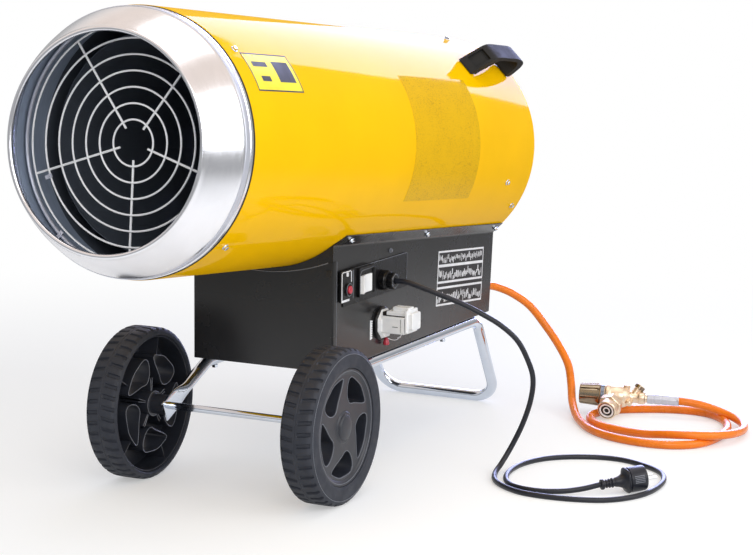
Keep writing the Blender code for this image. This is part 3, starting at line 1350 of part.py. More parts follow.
def smooth_curve(route, spacing, radius):
    """Read evenly spaced points from a smooth curve through a route's points, none under the floor"""
    points = [Vector(point) for point in route]
    padded = [points[0] * 2 - points[1]] + points + [points[-1] * 2 - points[-2]]
    parts = 12
    fine = []
    for before, start, end, after in zip(padded, padded[1:], padded[2:], padded[3:]):
        for part in range(parts):
            share = part / parts
            fine.append((
                start * 2 + (end - before) * share
                + (before * 2 - start * 5 + end * 4 - after) * share ** 2
                + (start * 3 - before - end * 3 + after) * share ** 3
            ) / 2)
    fine.append(points[-1])
    lengths = [0]
    for near, far in zip(fine, fine[1:]):
        lengths.append(lengths[-1] + (far - near).length)
    count = max(2, round(lengths[-1] / spacing))
    even = []
    index = 0
    for step in range(count + 1):
        wanted = lengths[-1] * step / count
        while index < len(fine) - 2 and lengths[index + 1] < wanted:
            index += 1
        share = (wanted - lengths[index]) / (lengths[index + 1] - lengths[index])
        point = fine[index].lerp(fine[index + 1], share)
        point.z = max(point.z, radius)
        even.append(point)
    return even


def cord(name, points, radius, finish):
    """A free cord as a bevelled curve"""
    data = bpy.data.curves.new(name, "CURVE")
    data.dimensions = "3D"
    data.bevel_depth = radius
    data.bevel_resolution = 2
    data.use_fill_caps = True
    spline = data.splines.new("POLY")
    spline.points.add(len(points) - 1)
    for target, point in zip(spline.points, points):
        target.co = (*point, 1)
    data.materials.append(finish)
    made = bpy.data.objects.new(name, data)
    bpy.context.collection.objects.link(made)


def pointing(name, place, direction):
    """An empty whose local X points along a direction, with its local Z as upright as it can be"""
    ahead = Vector(direction).normalized()
    side = Vector((0, 0, 1)).cross(ahead).normalized()
    up = ahead.cross(side)
    made = empty(name, place)
    made.rotation_euler = Matrix((ahead, side, up)).transposed().to_euler()
    return made


def make_mains(finish, inside, exit_point):
    """Mains cable, strain relief and plug"""
    heading = Vector((
        math.cos(PLUG_HEADING) * math.cos(PLUG_RISE),
        math.sin(PLUG_HEADING) * math.cos(PLUG_RISE),
        math.sin(PLUG_RISE),
    ))
    free_start = exit_point + Vector((CABLE_RADIUS, 0, 0))
    free_end = PLUG_START - heading * CABLE_RADIUS
    run = smooth_curve([free_start, *CABLE_ROUTE, free_end], CABLE_SPACING, CABLE_RADIUS)
    points = [inside, *run, PLUG_START - heading * GAP]
    cord("mains_cable", points, CABLE_RADIUS, finish["rubber"])
    axis = pointing("mains_plug_axis", PLUG_START, heading)
    relief = [(0, 0)]
    rib_shares = ((0, 0), (0.2, 1), (0.65, 1), (0.85, 0))
    pitch = RELIEF_LENGTH / RELIEF_RIBS
    for rib in range(RELIEF_RIBS):
        radius = RELIEF_SMALL_RADIUS + (RELIEF_LARGE_RADIUS - RELIEF_SMALL_RADIUS) * rib / (RELIEF_RIBS - 1)
        height = radius - RELIEF_WAIST_RADIUS
        relief += [(pitch * (rib + along), RELIEF_WAIST_RADIUS + height * out) for along, out in rib_shares]
    relief += [(RELIEF_LENGTH, RELIEF_WAIST_RADIUS), (RELIEF_LENGTH, 0)]
    relief = spun(relief, PIPE_SIDES, "X", closed=False)
    add_object("plug_strain_relief", relief, finish["plastic"], axis)
    start = RELIEF_LENGTH + GAP
    end = start + MAINS_PLUG_LENGTH
    shares = ((0, 0.45), (0.10, 0.50), (0.35, 0.62), (0.55, 0.84), (0.62, 1.0), (0.97, 1.0), (1, 0.93))
    body = [(start, 0)]
    body += [(start + MAINS_PLUG_LENGTH * along, MAINS_PLUG_RADIUS * out) for along, out in shares]
    body.append((end, 0))
    plug = spun(body, DRUM_SEGMENTS // 3, "X", closed=False)
    plug = add_object("mains_plug", plug, finish["rubber"], axis)
    pins = bmesh.new()
    for side in (1, -1):
        pin = rod(end - OVERRUN, end + PIN_LENGTH, PIN_RADIUS, PIPE_SIDES, "X")
        pin.transform(Matrix.Translation((0, side * PIN_SPREAD, 0)))
        add_bm(pins, pin)
    join(plug, add_object("plug_pins", pins, None, axis, cutter=True))


def make_hose(finish, start, straight):
    """Gas hose with its ferrule"""
    axis_line = (FERRULE_END - KNOB_CENTRE).normalized()
    free_end = FERRULE_END + axis_line * HOSE_RADIUS
    run = smooth_curve([straight, *HOSE_ROUTE, free_end], HOSE_SPACING, HOSE_RADIUS)
    cord("gas_hose", [start, *run, FERRULE_END + axis_line * GAP], HOSE_RADIUS, finish["orange"])


def make_regulator(finish):
    """Pressure regulator: fluted knob, brass body, swivel nut and hose ferrule"""
    line = FERRULE_END - KNOB_CENTRE
    axis = pointing("regulator_axis", KNOB_CENTRE, line)
    half = KNOB_LENGTH / 2
    rings = []
    around = KNOB_FLUTES * KNOB_FLUTE_STEPS
    stations = (
        (-half, KNOB_FRONT_RADIUS - KNOB_EDGE), (KNOB_EDGE - half, KNOB_FRONT_RADIUS),
        (half, KNOB_REAR_RADIUS),
    )
    for x, radius in stations:
        ring = []
        for index in range(around):
            turn = math.tau * index / around
            depth = KNOB_FLUTE_DEPTH * (index % KNOB_FLUTE_STEPS == 0)
            ring.append(Vector((x, math.cos(turn) * (radius - depth), math.sin(turn) * (radius - depth))))
        rings.append(ring)
    add_object("regulator_knob", lofted(rings), finish["brass"], axis)
    start = half + GAP
    end = start + BODY_LENGTH
    shares = (
        (0, BONNET_RADIUS), (0.16, BONNET_RADIUS), (0.17, BODY_FLANGE_RADIUS), (0.24, BODY_FLANGE_RADIUS),
        (0.26, BONNET_RADIUS), (0.45, BONNET_RADIUS), (0.58, BONNET_SHOULDER_RADIUS),
        (0.66, BODY_NECK_RADIUS), (0.82, BODY_NECK_RADIUS), (0.83, BODY_COLLAR_RADIUS),
        (0.95, BODY_COLLAR_RADIUS), (0.96, BODY_TAIL_RADIUS), (1, BODY_TAIL_RADIUS),
    )
    outline = [(start, 0)] + [(start + BODY_LENGTH * along, radius) for along, radius in shares] + [(end, 0)]
    body = add_object(
        "regulator_body", spun(outline, DRUM_SEGMENTS // 3, "X", closed=False), finish["brass"], axis,
    )
    upper = rod(0, BODY_FLANGE_RADIUS + BODY_NECK_RADIUS, BODY_STUB_RADIUS, PIPE_SIDES, "Z")
    spot = (start + BODY_LENGTH * BODY_STUB_SHARE, 0, 0)
    join(body, add_object("body_stub", upper, None, axis, spot, cutter=True))
    ferrule_start = end + GAP
    ferrule_end = line.length
    ferrule = rod(ferrule_start, ferrule_end, FERRULE_RADIUS, PIPE_SIDES, "X")
    add_object("hose_ferrule", ferrule, finish["bright"], axis)

    centre = KNOB_CENTRE + line.normalized() * (start + BODY_LENGTH * BODY_OUTLET_SHARE)
    out = NUT_FACE - centre
    swivel = pointing("swivel_axis", NUT_FACE, -out)
    neck = rod(OVERRUN * 2, out.length, SWIVEL_NECK_RADIUS, PIPE_SIDES, "X")
    join(body, add_object("body_neck", neck, None, swivel, cutter=True))
    bore = bore_for(SWIVEL_NECK_RADIUS, FRAME_SIDES)
    hex_start = SWIVEL_LENGTH / 2
    nut = (
        (0, bore), (0, SWIVEL_RADIUS), (hex_start, SWIVEL_RADIUS), (hex_start, SWIVEL_HEX_RADIUS),
        (SWIVEL_LENGTH, SWIVEL_HEX_RADIUS), (SWIVEL_LENGTH, bore),
    )
    add_object("cylinder_nut", spun(nut, FRAME_SIDES, "X"), finish["brass"], swivel)


def main():
    clear_scene()
    finish = make_materials()
    drum = empty("drum_axis", DRUM_ORIGIN, (-DRUM_TILT, 0, 0))
    make_casing(finish, drum)
    make_cone(finish, drum)
    make_grille(finish, drum)
    make_rear_guard(finish, drum)
    make_chamber(finish, drum)
    jet_end = make_burner(finish, drum)
    make_gas_pipe(finish, jet_end)
    make_motor(finish, drum)
    make_tray(finish)
    make_front_cover(finish)
    hose_start, hose_straight = make_rear_panel(finish, drum)
    make_inside(finish)
    make_handles(finish, drum)
    make_frame(finish)
    make_bolts(finish)
    make_axle(finish)
    for name, side in (("right", 1), ("left", -1)):
        make_wheel(finish, name, side)
    make_controls(finish)
    inside, exit_point = make_gland(finish)
    make_socket(finish)
    make_mains(finish, inside, exit_point)
    make_hose(finish, hose_start, hose_straight)
    make_regulator(finish)
    bpy.context.view_layer.update()


main()
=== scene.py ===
"""The looks of a gas space heater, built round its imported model.

Metres, +Z up, outlet towards -Y, controls on +X.
"""

import json
import math
import random

import bmesh
import bpy
from mathutils import Matrix, Vector


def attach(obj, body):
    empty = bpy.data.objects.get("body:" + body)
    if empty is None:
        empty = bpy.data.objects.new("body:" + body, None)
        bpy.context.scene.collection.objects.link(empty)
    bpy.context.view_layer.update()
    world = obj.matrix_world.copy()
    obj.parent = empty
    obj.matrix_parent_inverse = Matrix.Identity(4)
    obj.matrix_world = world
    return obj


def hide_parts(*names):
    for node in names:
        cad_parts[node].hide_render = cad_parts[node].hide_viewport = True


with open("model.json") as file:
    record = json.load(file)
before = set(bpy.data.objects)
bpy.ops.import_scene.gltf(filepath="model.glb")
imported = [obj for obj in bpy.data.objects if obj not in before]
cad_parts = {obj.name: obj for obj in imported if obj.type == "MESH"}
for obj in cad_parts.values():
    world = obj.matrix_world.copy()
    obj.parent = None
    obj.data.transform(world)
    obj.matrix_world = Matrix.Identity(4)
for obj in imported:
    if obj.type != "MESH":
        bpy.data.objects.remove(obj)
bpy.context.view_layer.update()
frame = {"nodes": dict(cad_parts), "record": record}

# Camera, fitted to the photograph
CAMERA_PLACE = Vector((1.6875, -3.1411, 0.9049))
CAMERA_YAW = math.radians(26.09)
CAMERA_PITCH = math.radians(9.35)
CAMERA_ROLL = math.radians(0.72)
CAMERA_LENS = 103.1
SENSOR_WIDTH = 36
CAMERA_REACH = 200

# Light
WORLD_LEVEL = 0.58
SKY_GLOSS = 0.42
CEILING_GLOSS = 0.88
FAR_GLOSS = 0.38
CEILING_TINT = (1.0, 0.86, 0.76)
FLOOR_REACH = 40
FLOOR_SHADE = 0.66
FLOOR_LIFT = 0.38
FLOOR_FADE = (0.8, 2.2)

# Soft lamps: name, place, target, width, height and level
LAMPS = (
    ("overhead softbox", (0.2, 0.0, 2.8), (0, 0, 0.4), 2.4, 1.6, 1.1),
    ("front softbox", (2.0, -2.5, 1.65), (0, 0, 0.4), 2.0, 1.8, 3.5),
    ("side softbox", (3.0, 0.1, 1.55), (0, 0.1, 0.7), 2.4, 2.2, 2.1),
)
REAR_LAMP = ("rear softbox", (-0.48, 3.2, 1.31), (-0.48, 0, 1.31), 2.06, 2.56, 10)
REAR_COLOUR = (0.50, 0.55, 1.0)

# Drum, in its own frame: Y runs along it from the front edge, Z is up, and angles start at the top
DRUM_TILT = math.radians(5)
DRUM_FRONT = Vector((0, -0.495853, 0.584845))
DRUM = Matrix.Translation(DRUM_FRONT) @ Matrix.Rotation(-DRUM_TILT, 4, "X")
DRUM_RADIUS = 0.200
DRUM_LENGTH = 1.054
DRUM_WALL = 0.0012
DRUM_STEPS = 144
RING_STEPS = 96
LIP_DEPTH = 0.011
LINER_START = 0.019
LINER_SHORT = 0.014
FILM_THICK = 0.0002
FILM_LIFT = 0.0001
PRINT_LIFT = 0.0003

# Outlet cone, outlet grille and inlet guard, in the drum's frame
CONE_BAND = 0.1985
CONE_START = -0.0235
CONE_RUN = 0.059
CONE_END = -0.086
CONE_MOUTH = 0.162
CONE_SHEET = 0.001
CONE_STEPS = 12
LIP_ROLL = 0.0040
LIP_STEPS = 12
GRILLE_FIRST = 0.034
GRILLE_PITCH = 0.0236
GRILLE_RINGS = 7
GRILLE_SPOKES = 5
GUARD_FIRST = 0.022
GUARD_PITCH = 0.0214
GUARD_RINGS = 8
GUARD_SPOKES = 8
GUARD_RIM = 0.1935

# Handles on the drum
HANDLE_ANGLE = math.radians(44)
HANDLE_START = 0.850
HANDLE_LENGTH = 0.190
HANDLE_HEIGHT = 0.045
HANDLE_WIDTH = 0.034
HANDLE_OUTER_SHARES = (
    (0, 0), (0, 0.07), (0.20, 0.83), (0.265, 0.965), (0.35, 1), (0.78, 1), (0.90, 0.93), (0.98, 0.78),
    (1, 0.55), (0.98, 0.30), (0.95, 0),
)
HANDLE_INNER_SHARES = (
    (0.83, 0), (0.88, 0.42), (0.87, 0.68), (0.80, 0.83), (0.44, 0.84), (0.35, 0.77), (0.135, 0.07),
    (0.135, 0),
)

# Wheels, in their own frame: Y points outward from the middle of the axle
AXLE = Vector((0, -0.2074, 0.125))
WHEEL_FACE = 0.2041
TYRE_WIDTH = 0.0566
TYRE_PITCHES = 44
RIM_FACE = 0.1976
RIM_BACK = 0.1916
WALL_DEPTH = 0.1535
WINDOW_COUNT = 5
WINDOW_INNER = 0.0395
WINDOW_OUTER = 0.0805
WINDOW_TURN = math.radians(40)
WINDOW_SWEEP = math.tau / WINDOW_COUNT * 0.80
WINDOW_SHARES = (
    (0.03, 0.35), (0.04, 0.18), (0.28, 0.00), (0.64, -0.02), (0.91, 0.03), (1.00, 0.15), (1.00, 0.60),
    (0.97, 1.03), (0.64, 0.93), (0.36, 0.75), (0.18, 0.55),
)

# Box under the drum
BOX_FRONT = -0.117
BOX_BOTTOM = 0.188
BOX_HALF = 0.130
BOX_SHEET = 0.0015
BOX_WALL = 0.1282
BOX_REAR = 1.050
SEAT_GAP = 0.0003
PLATE_FACE = 0.130
FLANGE_WIDTH = 0.025
BRIDGE_MIDDLE = 0.061
SOCKET_HEIGHT = 0.2415
BUTTON_Y = -0.0726
BUTTON_Z = 0.318
BUTTON_ROOM = 0.0074
CASE_FACE = 0.1343
FRAME_FACE = 0.1388
LABEL_LENGTH = 0.2013
LABEL_HEIGHT = 0.0983
LABEL_SEED = 5

# Frame tube
TUBE_RADIUS = 0.010
TUBE_HALF = 0.120
TUBE_BEND = 0.045

# Mains cable
CABLE_RADIUS = 0.0045
CABLE_EXIT = Vector((0.1589, 0.062, 0.315))
CABLE_ROUTE = (
    (0.1634, 0.062, 0.315), (0.180, 0.0625, 0.3135), (0.215, 0.068, 0.3024), (0.265, 0.079, 0.2849),
    (0.297, 0.089, 0.2695), (0.329, 0.100, 0.2505), (0.355, 0.111, 0.2259), (0.370, 0.120, 0.1954),
    (0.379, 0.127, 0.1612), (0.374, 0.132, 0.1222), (0.360, 0.133, 0.0790), (0.344, 0.126, 0.0405),
    (0.335, 0.106, 0.0150), (0.338, 0.070, 0.0046), (0.362, 0.023, 0.0045), (0.409, -0.013, 0.0045),
    (0.456, -0.022, 0.0045), (0.513, -0.015, 0.0045), (0.560, 0.006, 0.0045), (0.592, 0.049, 0.0045),
    (0.604, 0.099, 0.0045), (0.600, 0.161, 0.0045), (0.580, 0.209, 0.0045), (0.546, 0.240, 0.0045),
    (0.497, 0.263, 0.0045), (0.452, 0.262, 0.0045), (0.405, 0.240, 0.0045), (0.372, 0.207, 0.0045),
    (0.354, 0.162, 0.0045), (0.351, 0.113, 0.0045), (0.361, 0.063, 0.0045), (0.383, 0.024, 0.0045),
    (0.412, 0.007, 0.0045), (0.446, 0.006, 0.0045), (0.481, 0.016, 0.0065), (0.508, 0.030, 0.0105),
)
PLUG_START = Vector((0.531, 0.050, 0.0155))
PLUG_HEADING = math.radians(42)
PLUG_RISE = math.radians(6)
BELL_START = 0.0240
BELL_LENGTH = 0.0523
BELL_HALF = 0.0207

# Gas hose
HOSE_RADIUS = 0.0075
HOSE_EXIT = Vector((0.104, 0.5440, 0.2322))
HOSE_ROUTE = (
    (0.104, 0.5515, 0.2315), (0.1065, 0.570, 0.2290), (0.118, 0.590, 0.2235), (0.141, 0.607, 0.2110),
    (0.171, 0.622, 0.1876), (0.199, 0.632, 0.1517), (0.228, 0.630, 0.1164), (0.253, 0.619, 0.0824),
    (0.269, 0.596, 0.0500), (0.286, 0.561, 0.0230), (0.318, 0.507, 0.0085), (0.366, 0.441, 0.0075),
    (0.418, 0.404, 0.0075), (0.479, 0.388, 0.0075), (0.532, 0.394, 0.0075), (0.570, 0.422, 0.0075),
    (0.588, 0.473, 0.0075), (0.588, 0.545, 0.0075), (0.570, 0.606, 0.0075), (0.536, 0.652, 0.0075),
    (0.492, 0.672, 0.0075), (0.442, 0.665, 0.0075), (0.394, 0.641, 0.0075), (0.353, 0.608, 0.0075),
    (0.331, 0.566, 0.0075), (0.337, 0.519, 0.0075), (0.372, 0.478, 0.0075), (0.422, 0.457, 0.0080),
    (0.470, 0.436, 0.0120), (0.515, 0.421, 0.0190), (0.558, 0.421, 0.0225), (0.592, 0.441, 0.0215),
    (0.612, 0.478, 0.0180), (0.6185, 0.520, 0.0140), (0.616, 0.560, 0.0110), (0.606, 0.593, 0.0110),
    (0.588, 0.618, 0.0130), (0.563, 0.6335, 0.0180), (0.536, 0.6385, 0.0240), (0.507, 0.6342, 0.0305),
)
KNOB_CENTRE = Vector((0.310, 0.588, 0.038))
FERRULE_END = Vector((0.472, 0.626, 0.034))
NUT_FACE = Vector((0.360, 0.542, 0.020))
CASTING_START = 0.0193
CASTING_LENGTH = 0.088
FERRULE_FIRST = 0.1076
FERRULE_LAST = 0.1661

PAIR = (("right", 1), ("left", -1))


def turned(outline, steps, closed=False, dent=None):
    """Turn (along, radius) points about local Y; a third number is how far dent(turn) sinks that row"""
    bm = bmesh.new()
    rows = []
    turns = [math.tau * index / steps for index in range(steps)]
    for entry in outline:
        along, radius = entry[0], entry[1]
        share = entry[2] if len(entry) > 2 else 0
        if radius <= 0:
            rows.append([bm.verts.new((0, along, 0))] * steps)
            continue
        row = []
        for turn in turns:
            reach = radius - (dent(turn) * share if dent else 0)
            row.append(bm.verts.new((reach * math.sin(turn), along, reach * math.cos(turn))))
        rows.append(row)
    pairs = list(zip(rows, rows[1:]))
    if closed:
        pairs.append((rows[-1], rows[0]))
    for near, far in pairs:
        for index in range(steps):
            after = (index + 1) % steps
            corners = []
            for vert in (near[index], near[after], far[after], far[index]):
                if vert not in corners:
                    corners.append(vert)
            if len(corners) > 2:
                bm.faces.new(corners)
    return bm


def rounded(outline, radius, steps=3, closed=False):
    """Round the corners of an outline of points"""
    points = [Vector(point) for point in outline]
    count = len(points)
    made = []
    for index, point in enumerate(points):
        if not closed and index in (0, count - 1):
            made.append(point)
            continue
        back = points[index - 1] - point
        ahead = points[(index + 1) % count] - point
        start = point + back.normalized() * min(radius, back.length * 0.45)
        end = point + ahead.normalized() * min(radius, ahead.length * 0.45)
        for step in range(steps + 1):
            share = step / steps
            made.append(start.lerp(point, share).lerp(point.lerp(end, share), share))
    return made


def divided(points, longest):
    """Add points to a path so that no run is longer than a given length"""
    made = [points[0]]
    for start, end in zip(points, points[1:]):
        parts = max(1, math.ceil((end - start).length / longest))
        made += [start.lerp(end, part / parts) for part in range(1, parts + 1)]
    return made


def skinned(rings, capped=True, loop=False, strip=False):
    """Skin rings of points, one after another; a folded sheet's end is closed as a strip"""
    bm = bmesh.new()
    rows = [[bm.verts.new(point) for point in ring] for ring in rings]
    pairs = list(zip(rows, rows[1:]))
    if loop:
        pairs.append((rows[-1], rows[0]))
    for near, far in pairs:
        for index, vert in enumerate(near):
            after = (index + 1) % len(near)
            bm.faces.new((vert, near[after], far[after], far[index]))
    if capped and not loop:
        for row in (rows[0], rows[-1]):
            if not strip:
                bm.faces.new(row)
                continue
            last = len(row) - 1
            for index in range(len(row) // 2 - 1):
                bm.faces.new((row[index], row[index + 1], row[last - 1 - index], row[last - index]))
    return bm


def block(low, high):
    """A box between two corners"""
    bm = bmesh.new()
    bmesh.ops.create_cube(bm, size=1)
    low = Vector(low)
    high = Vector(high)
    bmesh.ops.scale(bm, vec=high - low, verts=bm.verts)
    bmesh.ops.translate(bm, vec=(low + high) / 2, verts=bm.verts)
    return bm


def slab(outline, move):
    """Push a flat outline of 3-D points along a vector"""
    rings = [[Vector(point) for point in outline], [Vector(point) + Vector(move) for point in outline]]
    return skinned(rings)


def tile(start, end, low, high, corner=0.002, steps=4):
    """A plate with rounded corners on a side wall, from one X to another, between two (y, z) corners"""
    spots = (low, (high[0], low[1]), high, (low[0], high[1]))
    outline = [(start, y, z) for y, z in spots]
    return slab(rounded(outline, corner, steps, closed=True), (end - start, 0, 0))


def tube(path, radius, sides, loop=False, side=(1, 0, 0)):
    """A round wire along a path"""
    rings = []
    count = len(path)
    across = Vector(side)
    for index, point in enumerate(path):
        if loop:
            ahead = path[(index + 1) % count] - path[index - 1]
        else:
            ahead = path[min(index + 1, count - 1)] - path[max(index - 1, 0)]
        ahead.normalize()
        across = (across - ahead * across.dot(ahead)).normalized()
        up = ahead.cross(across)
        turns = [math.tau * step / sides for step in range(sides)]
        rings.append([point + (across * math.cos(turn) + up * math.sin(turn)) * radius for turn in turns])
    return skinned(rings, loop=loop)


def bent(corners, radius, steps=10):
    """Round the inner corners of a path of straight runs"""
    path = [Vector(corners[0])]
    for before, corner, after in zip(corners, corners[1:], corners[2:]):
        corner = Vector(corner)
        back = (Vector(before) - corner).normalized()
        ahead = (Vector(after) - corner).normalized()
        turn = math.pi - back.angle(ahead)
        reach = radius * math.tan(turn / 2)
        centre = corner + (back + ahead).normalized() * radius / math.cos(turn / 2)
        first = corner + back * reach - centre
        spindle = first.cross(corner + ahead * reach - centre).normalized()
        for step in range(steps + 1):
            spoke = first.copy()
            spoke.rotate(Matrix.Rotation(turn * step / steps, 3, spindle))
            path.append(centre + spoke)
    path.append(Vector(corners[-1]))
    return path


def merged(*parts):
    """Put several bmeshes into one"""
    whole = bmesh.new()
    for part in parts:
        mesh = bpy.data.meshes.new("part")
        part.to_mesh(mesh)
        part.free()
        whole.from_mesh(mesh)
        bpy.data.meshes.remove(mesh)
    return whole


def placed(bm, matrix):
    """Move a bmesh's points"""
    bm.transform(matrix)
    return bm


def shifted(bm, move):
    """Slide a bmesh"""
    return placed(bm, Matrix.Translation(move))


def facing(place, direction, up=(0, 0, 1)):
    """A matrix whose local Y points along a direction, with local Z as upright as it can be"""
    ahead = Vector(direction).normalized()
    right = ahead.cross(Vector(up)).normalized()
    top = right.cross(ahead)
    made = Matrix((right, ahead, top)).transposed().to_4x4()
    made.translation = place
    return made


def piece(
    name, bm, finish, body="heater", at=None, stands_for=(), edge=0, smooth=35, segments=2, cutter=None,
):
    """Make a piece from a bmesh, and let it ride on a body"""
    bmesh.ops.remove_doubles(bm, verts=bm.verts, dist=0.000005)
    bmesh.ops.recalc_face_normals(bm, faces=bm.faces)
    mesh = bpy.data.meshes.new(name)
    bm.to_mesh(mesh)
    bm.free()
    obj = bpy.data.objects.new(name, mesh)
    bpy.context.scene.collection.objects.link(obj)
    material, slot = finish
    mesh.materials.append(material)
    if at is not None:
        obj.matrix_world = at
    if cutter is not None:
        carve(obj, cutter)
    obj.data.shade_smooth()
    obj.data.set_sharp_from_angle(angle=math.radians(smooth))
    if edge:
        modifier = obj.modifiers.new("edges", "BEVEL")
        modifier.width = edge
        modifier.segments = segments
        modifier.limit_method = "ANGLE"
        modifier.angle_limit = math.radians(smooth)
    if edge or cutter is not None:
        modifier = obj.modifiers.new("normals", "WEIGHTED_NORMAL")
        modifier.keep_sharp = True
    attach(obj, body)
    if stands_for:
        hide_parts(*stands_for)
    return obj


def carve(obj, cutter):
    """Cut a bmesh's shape, in the piece's own frame, out of it and keep the result"""
    mesh = bpy.data.meshes.new("cutter")
    bmesh.ops.recalc_face_normals(cutter, faces=cutter.faces)
    cutter.to_mesh(mesh)
    cutter.free()
    tool = bpy.data.objects.new("cutter", mesh)
    tool.matrix_world = obj.matrix_world
    bpy.context.scene.collection.objects.link(tool)
    modifier = obj.modifiers.new("cut", "BOOLEAN")
    modifier.operation = "DIFFERENCE"
    modifier.solver = "EXACT"
    modifier.object = tool
    bpy.context.view_layer.update()
    result = bpy.data.meshes.new_from_object(obj.evaluated_get(bpy.context.evaluated_depsgraph_get()))
    obj.modifiers.remove(modifier)
    old = obj.data
    obj.data = result
    bpy.data.objects.remove(tool)
    bpy.data.meshes.remove(mesh)
    bpy.data.meshes.remove(old)


class Look:
    """One procedural material, with its pattern in the piece's own coordinates"""

    def __init__(self, name, colour, roughness, metallic=0, coat=0, coat_roughness=0.1, specular=0.5):
        self.material = bpy.data.materials.new(name)
        self.material.use_nodes = True
        self.tree = self.material.node_tree
        self.shader = self.tree.nodes["Principled BSDF"]
        self.shader.inputs["Base Color"].default_value = (*colour, 1)
        self.shader.inputs["Roughness"].default_value = roughness
        self.shader.inputs["Metallic"].default_value = metallic
        self.shader.inputs["Coat Weight"].default_value = coat
        self.shader.inputs["Coat Roughness"].default_value = coat_roughness
        self.shader.inputs["Specular IOR Level"].default_value = specular
        self.height = None
        self.place = self.tree.nodes.new("ShaderNodeTexCoord").outputs["Object"]

    def node(self, kind, **sockets):
        """Add a node, with its sockets set or linked"""
        made = self.tree.nodes.new("ShaderNode" + kind)
        for name, value in sockets.items():
            self.plug(made.inputs[name.replace("_", " ")], value)
        return made

    def plug(self, socket, value):
        if isinstance(value, bpy.types.NodeSocket):
            self.tree.links.new(value, socket)
        else:
            socket.default_value = value

    def round_the_drum(self, per_turn, along):
        """Coordinates that run round local Y, for marks left by rolling and spinning"""
        split = self.node("SeparateXYZ", Vector=self.place)
        across = split.outputs["X"]
        up = split.outputs["Z"]
        turn = self.math("ARCTAN2", across, up)
        radius = self.math("SQRT", self.math("ADD", self.square(across), self.square(up)))
        around = self.math("MULTIPLY", turn, per_turn)
        length = self.math("MULTIPLY", split.outputs["Y"], along)
        depth = self.math("MULTIPLY", radius, along)
        return self.node("CombineXYZ", X=around, Y=length, Z=depth).outputs["Vector"]

    def square(self, value):
        return self.math("MULTIPLY", value, value)

    def math(self, operation, first, second=None):
        made = self.tree.nodes.new("ShaderNodeMath")
        made.operation = operation
        self.plug(made.inputs[0], first)
        if second is not None:
            self.plug(made.inputs[1], second)
        return made.outputs[0]

    def noise(self, scale, detail=3, rough=0.5, vector=None):
        if vector is None:
            vector = self.place
        made = self.node("TexNoise", Vector=vector, Scale=scale, Detail=detail, Roughness=rough)
        return made.outputs["Fac"]

    def between(self, value, low, high, start, end):
        """Map a range of values onto another"""
        made = self.node("MapRange", Value=value)
        made.inputs["From Min"].default_value = low
        made.inputs["From Max"].default_value = high
        made.inputs["To Min"].default_value = start
        made.inputs["To Max"].default_value = end
        return made.outputs["Result"]

    def ramp(self, value, *stops):
        """Colours at stops along a value"""
        made = self.node("ValToRGB", Fac=value)
        elements = made.color_ramp.elements
        while len(elements) < len(stops):
            elements.new(0.5)
        for element, (where, colour) in zip(elements, stops):
            element.position = where
            element.color = (*colour, 1)
        return made.outputs["Color"]

    def blend(self, factor, first, second):
        """Mix two colours"""
        made = self.tree.nodes.new("ShaderNodeMix")
        made.data_type = "RGBA"
        for socket, value in ((made.inputs[0], factor), (made.inputs[6], first), (made.inputs[7], second)):
            if isinstance(value, tuple):
                value = (*value, 1)
            self.plug(socket, value)
        return made.outputs[2]

    def colour(self, value):
        self.plug(self.shader.inputs["Base Color"], value)
        return self

    def roughness(self, value):
        self.plug(self.shader.inputs["Roughness"], value)
        return self

    def bump(self, height, distance, strength=1.0):
        """Raise the surface by a height pattern; calls add up"""
        made = self.node("Bump", Height=height, Distance=distance, Strength=strength)
        if self.height is not None:
            self.tree.links.new(self.height, made.inputs["Normal"])
        self.height = made.outputs["Normal"]
        self.tree.links.new(self.height, self.shader.inputs["Normal"])
        return self


def shades(colour, amount):
    """A darker and a lighter neighbour of a colour"""
    dark = tuple(part * (1 - amount) for part in colour)
    light = tuple(min(1, part * (1 + amount)) for part in colour)
    return dark, light


def mottled(look, colour, amount, scale):
    """Vary a colour softly over the surface"""
    dark, light = shades(colour, amount)
    return look.colour(look.ramp(look.noise(scale, 4), (0.3, dark), (0.7, light)))


def painted(name, colour, roughness, coat, peel, coat_roughness=0.12, specular=0.5):
    """Sprayed or powder-coated metal: a faint orange peel, and dust that dulls it in patches"""
    look = Look(name, colour, roughness, coat=coat, coat_roughness=coat_roughness, specular=specular)
    mottled(look, colour, 0.03, 9)
    look.roughness(look.between(look.noise(14, 5), 0.3, 0.7, roughness * 0.85, roughness * 1.2))
    look.bump(look.noise(900, 2), peel, 0.3)
    return look


def sheet_metal(name, colour, roughness, streak, per_turn=6, along=500, metallic=1):
    """Rolled bright sheet: fine marks round the drum, clouds of handling"""
    look = Look(name, colour, roughness, metallic=metallic)
    marks = look.noise(1, 4, 0.6, look.round_the_drum(per_turn, along))
    clouds = look.noise(13, 5, 0.6)
    dark, light = shades(colour, streak)
    tone = look.ramp(marks, (0.3, dark), (0.7, light))
    grey = tuple(part * 0.86 for part in colour)
    look.colour(look.blend(look.between(clouds, 0.4, 0.75, 0, 0.6), tone, grey))
    look.roughness(look.between(look.math("ADD", marks, clouds), 0.6, 1.4, roughness * 0.75, roughness * 1.3))
    look.bump(marks, 0.0001, 0.15)
    return look


def moulded(name, colour, roughness, grain=0.00008, scale=1400, specular=0.5):
    """Moulded plastic or rubber: a fine texture, soft scuffs"""
    look = Look(name, colour, roughness, coat_roughness=0.2, specular=specular)
    mottled(look, colour, 0.10, 24)
    look.roughness(look.between(look.noise(30, 5, 0.6), 0.3, 0.7, roughness * 0.85, min(1, roughness * 1.2)))
    look.bump(look.noise(scale, 2), grain, 0.4)
    return look


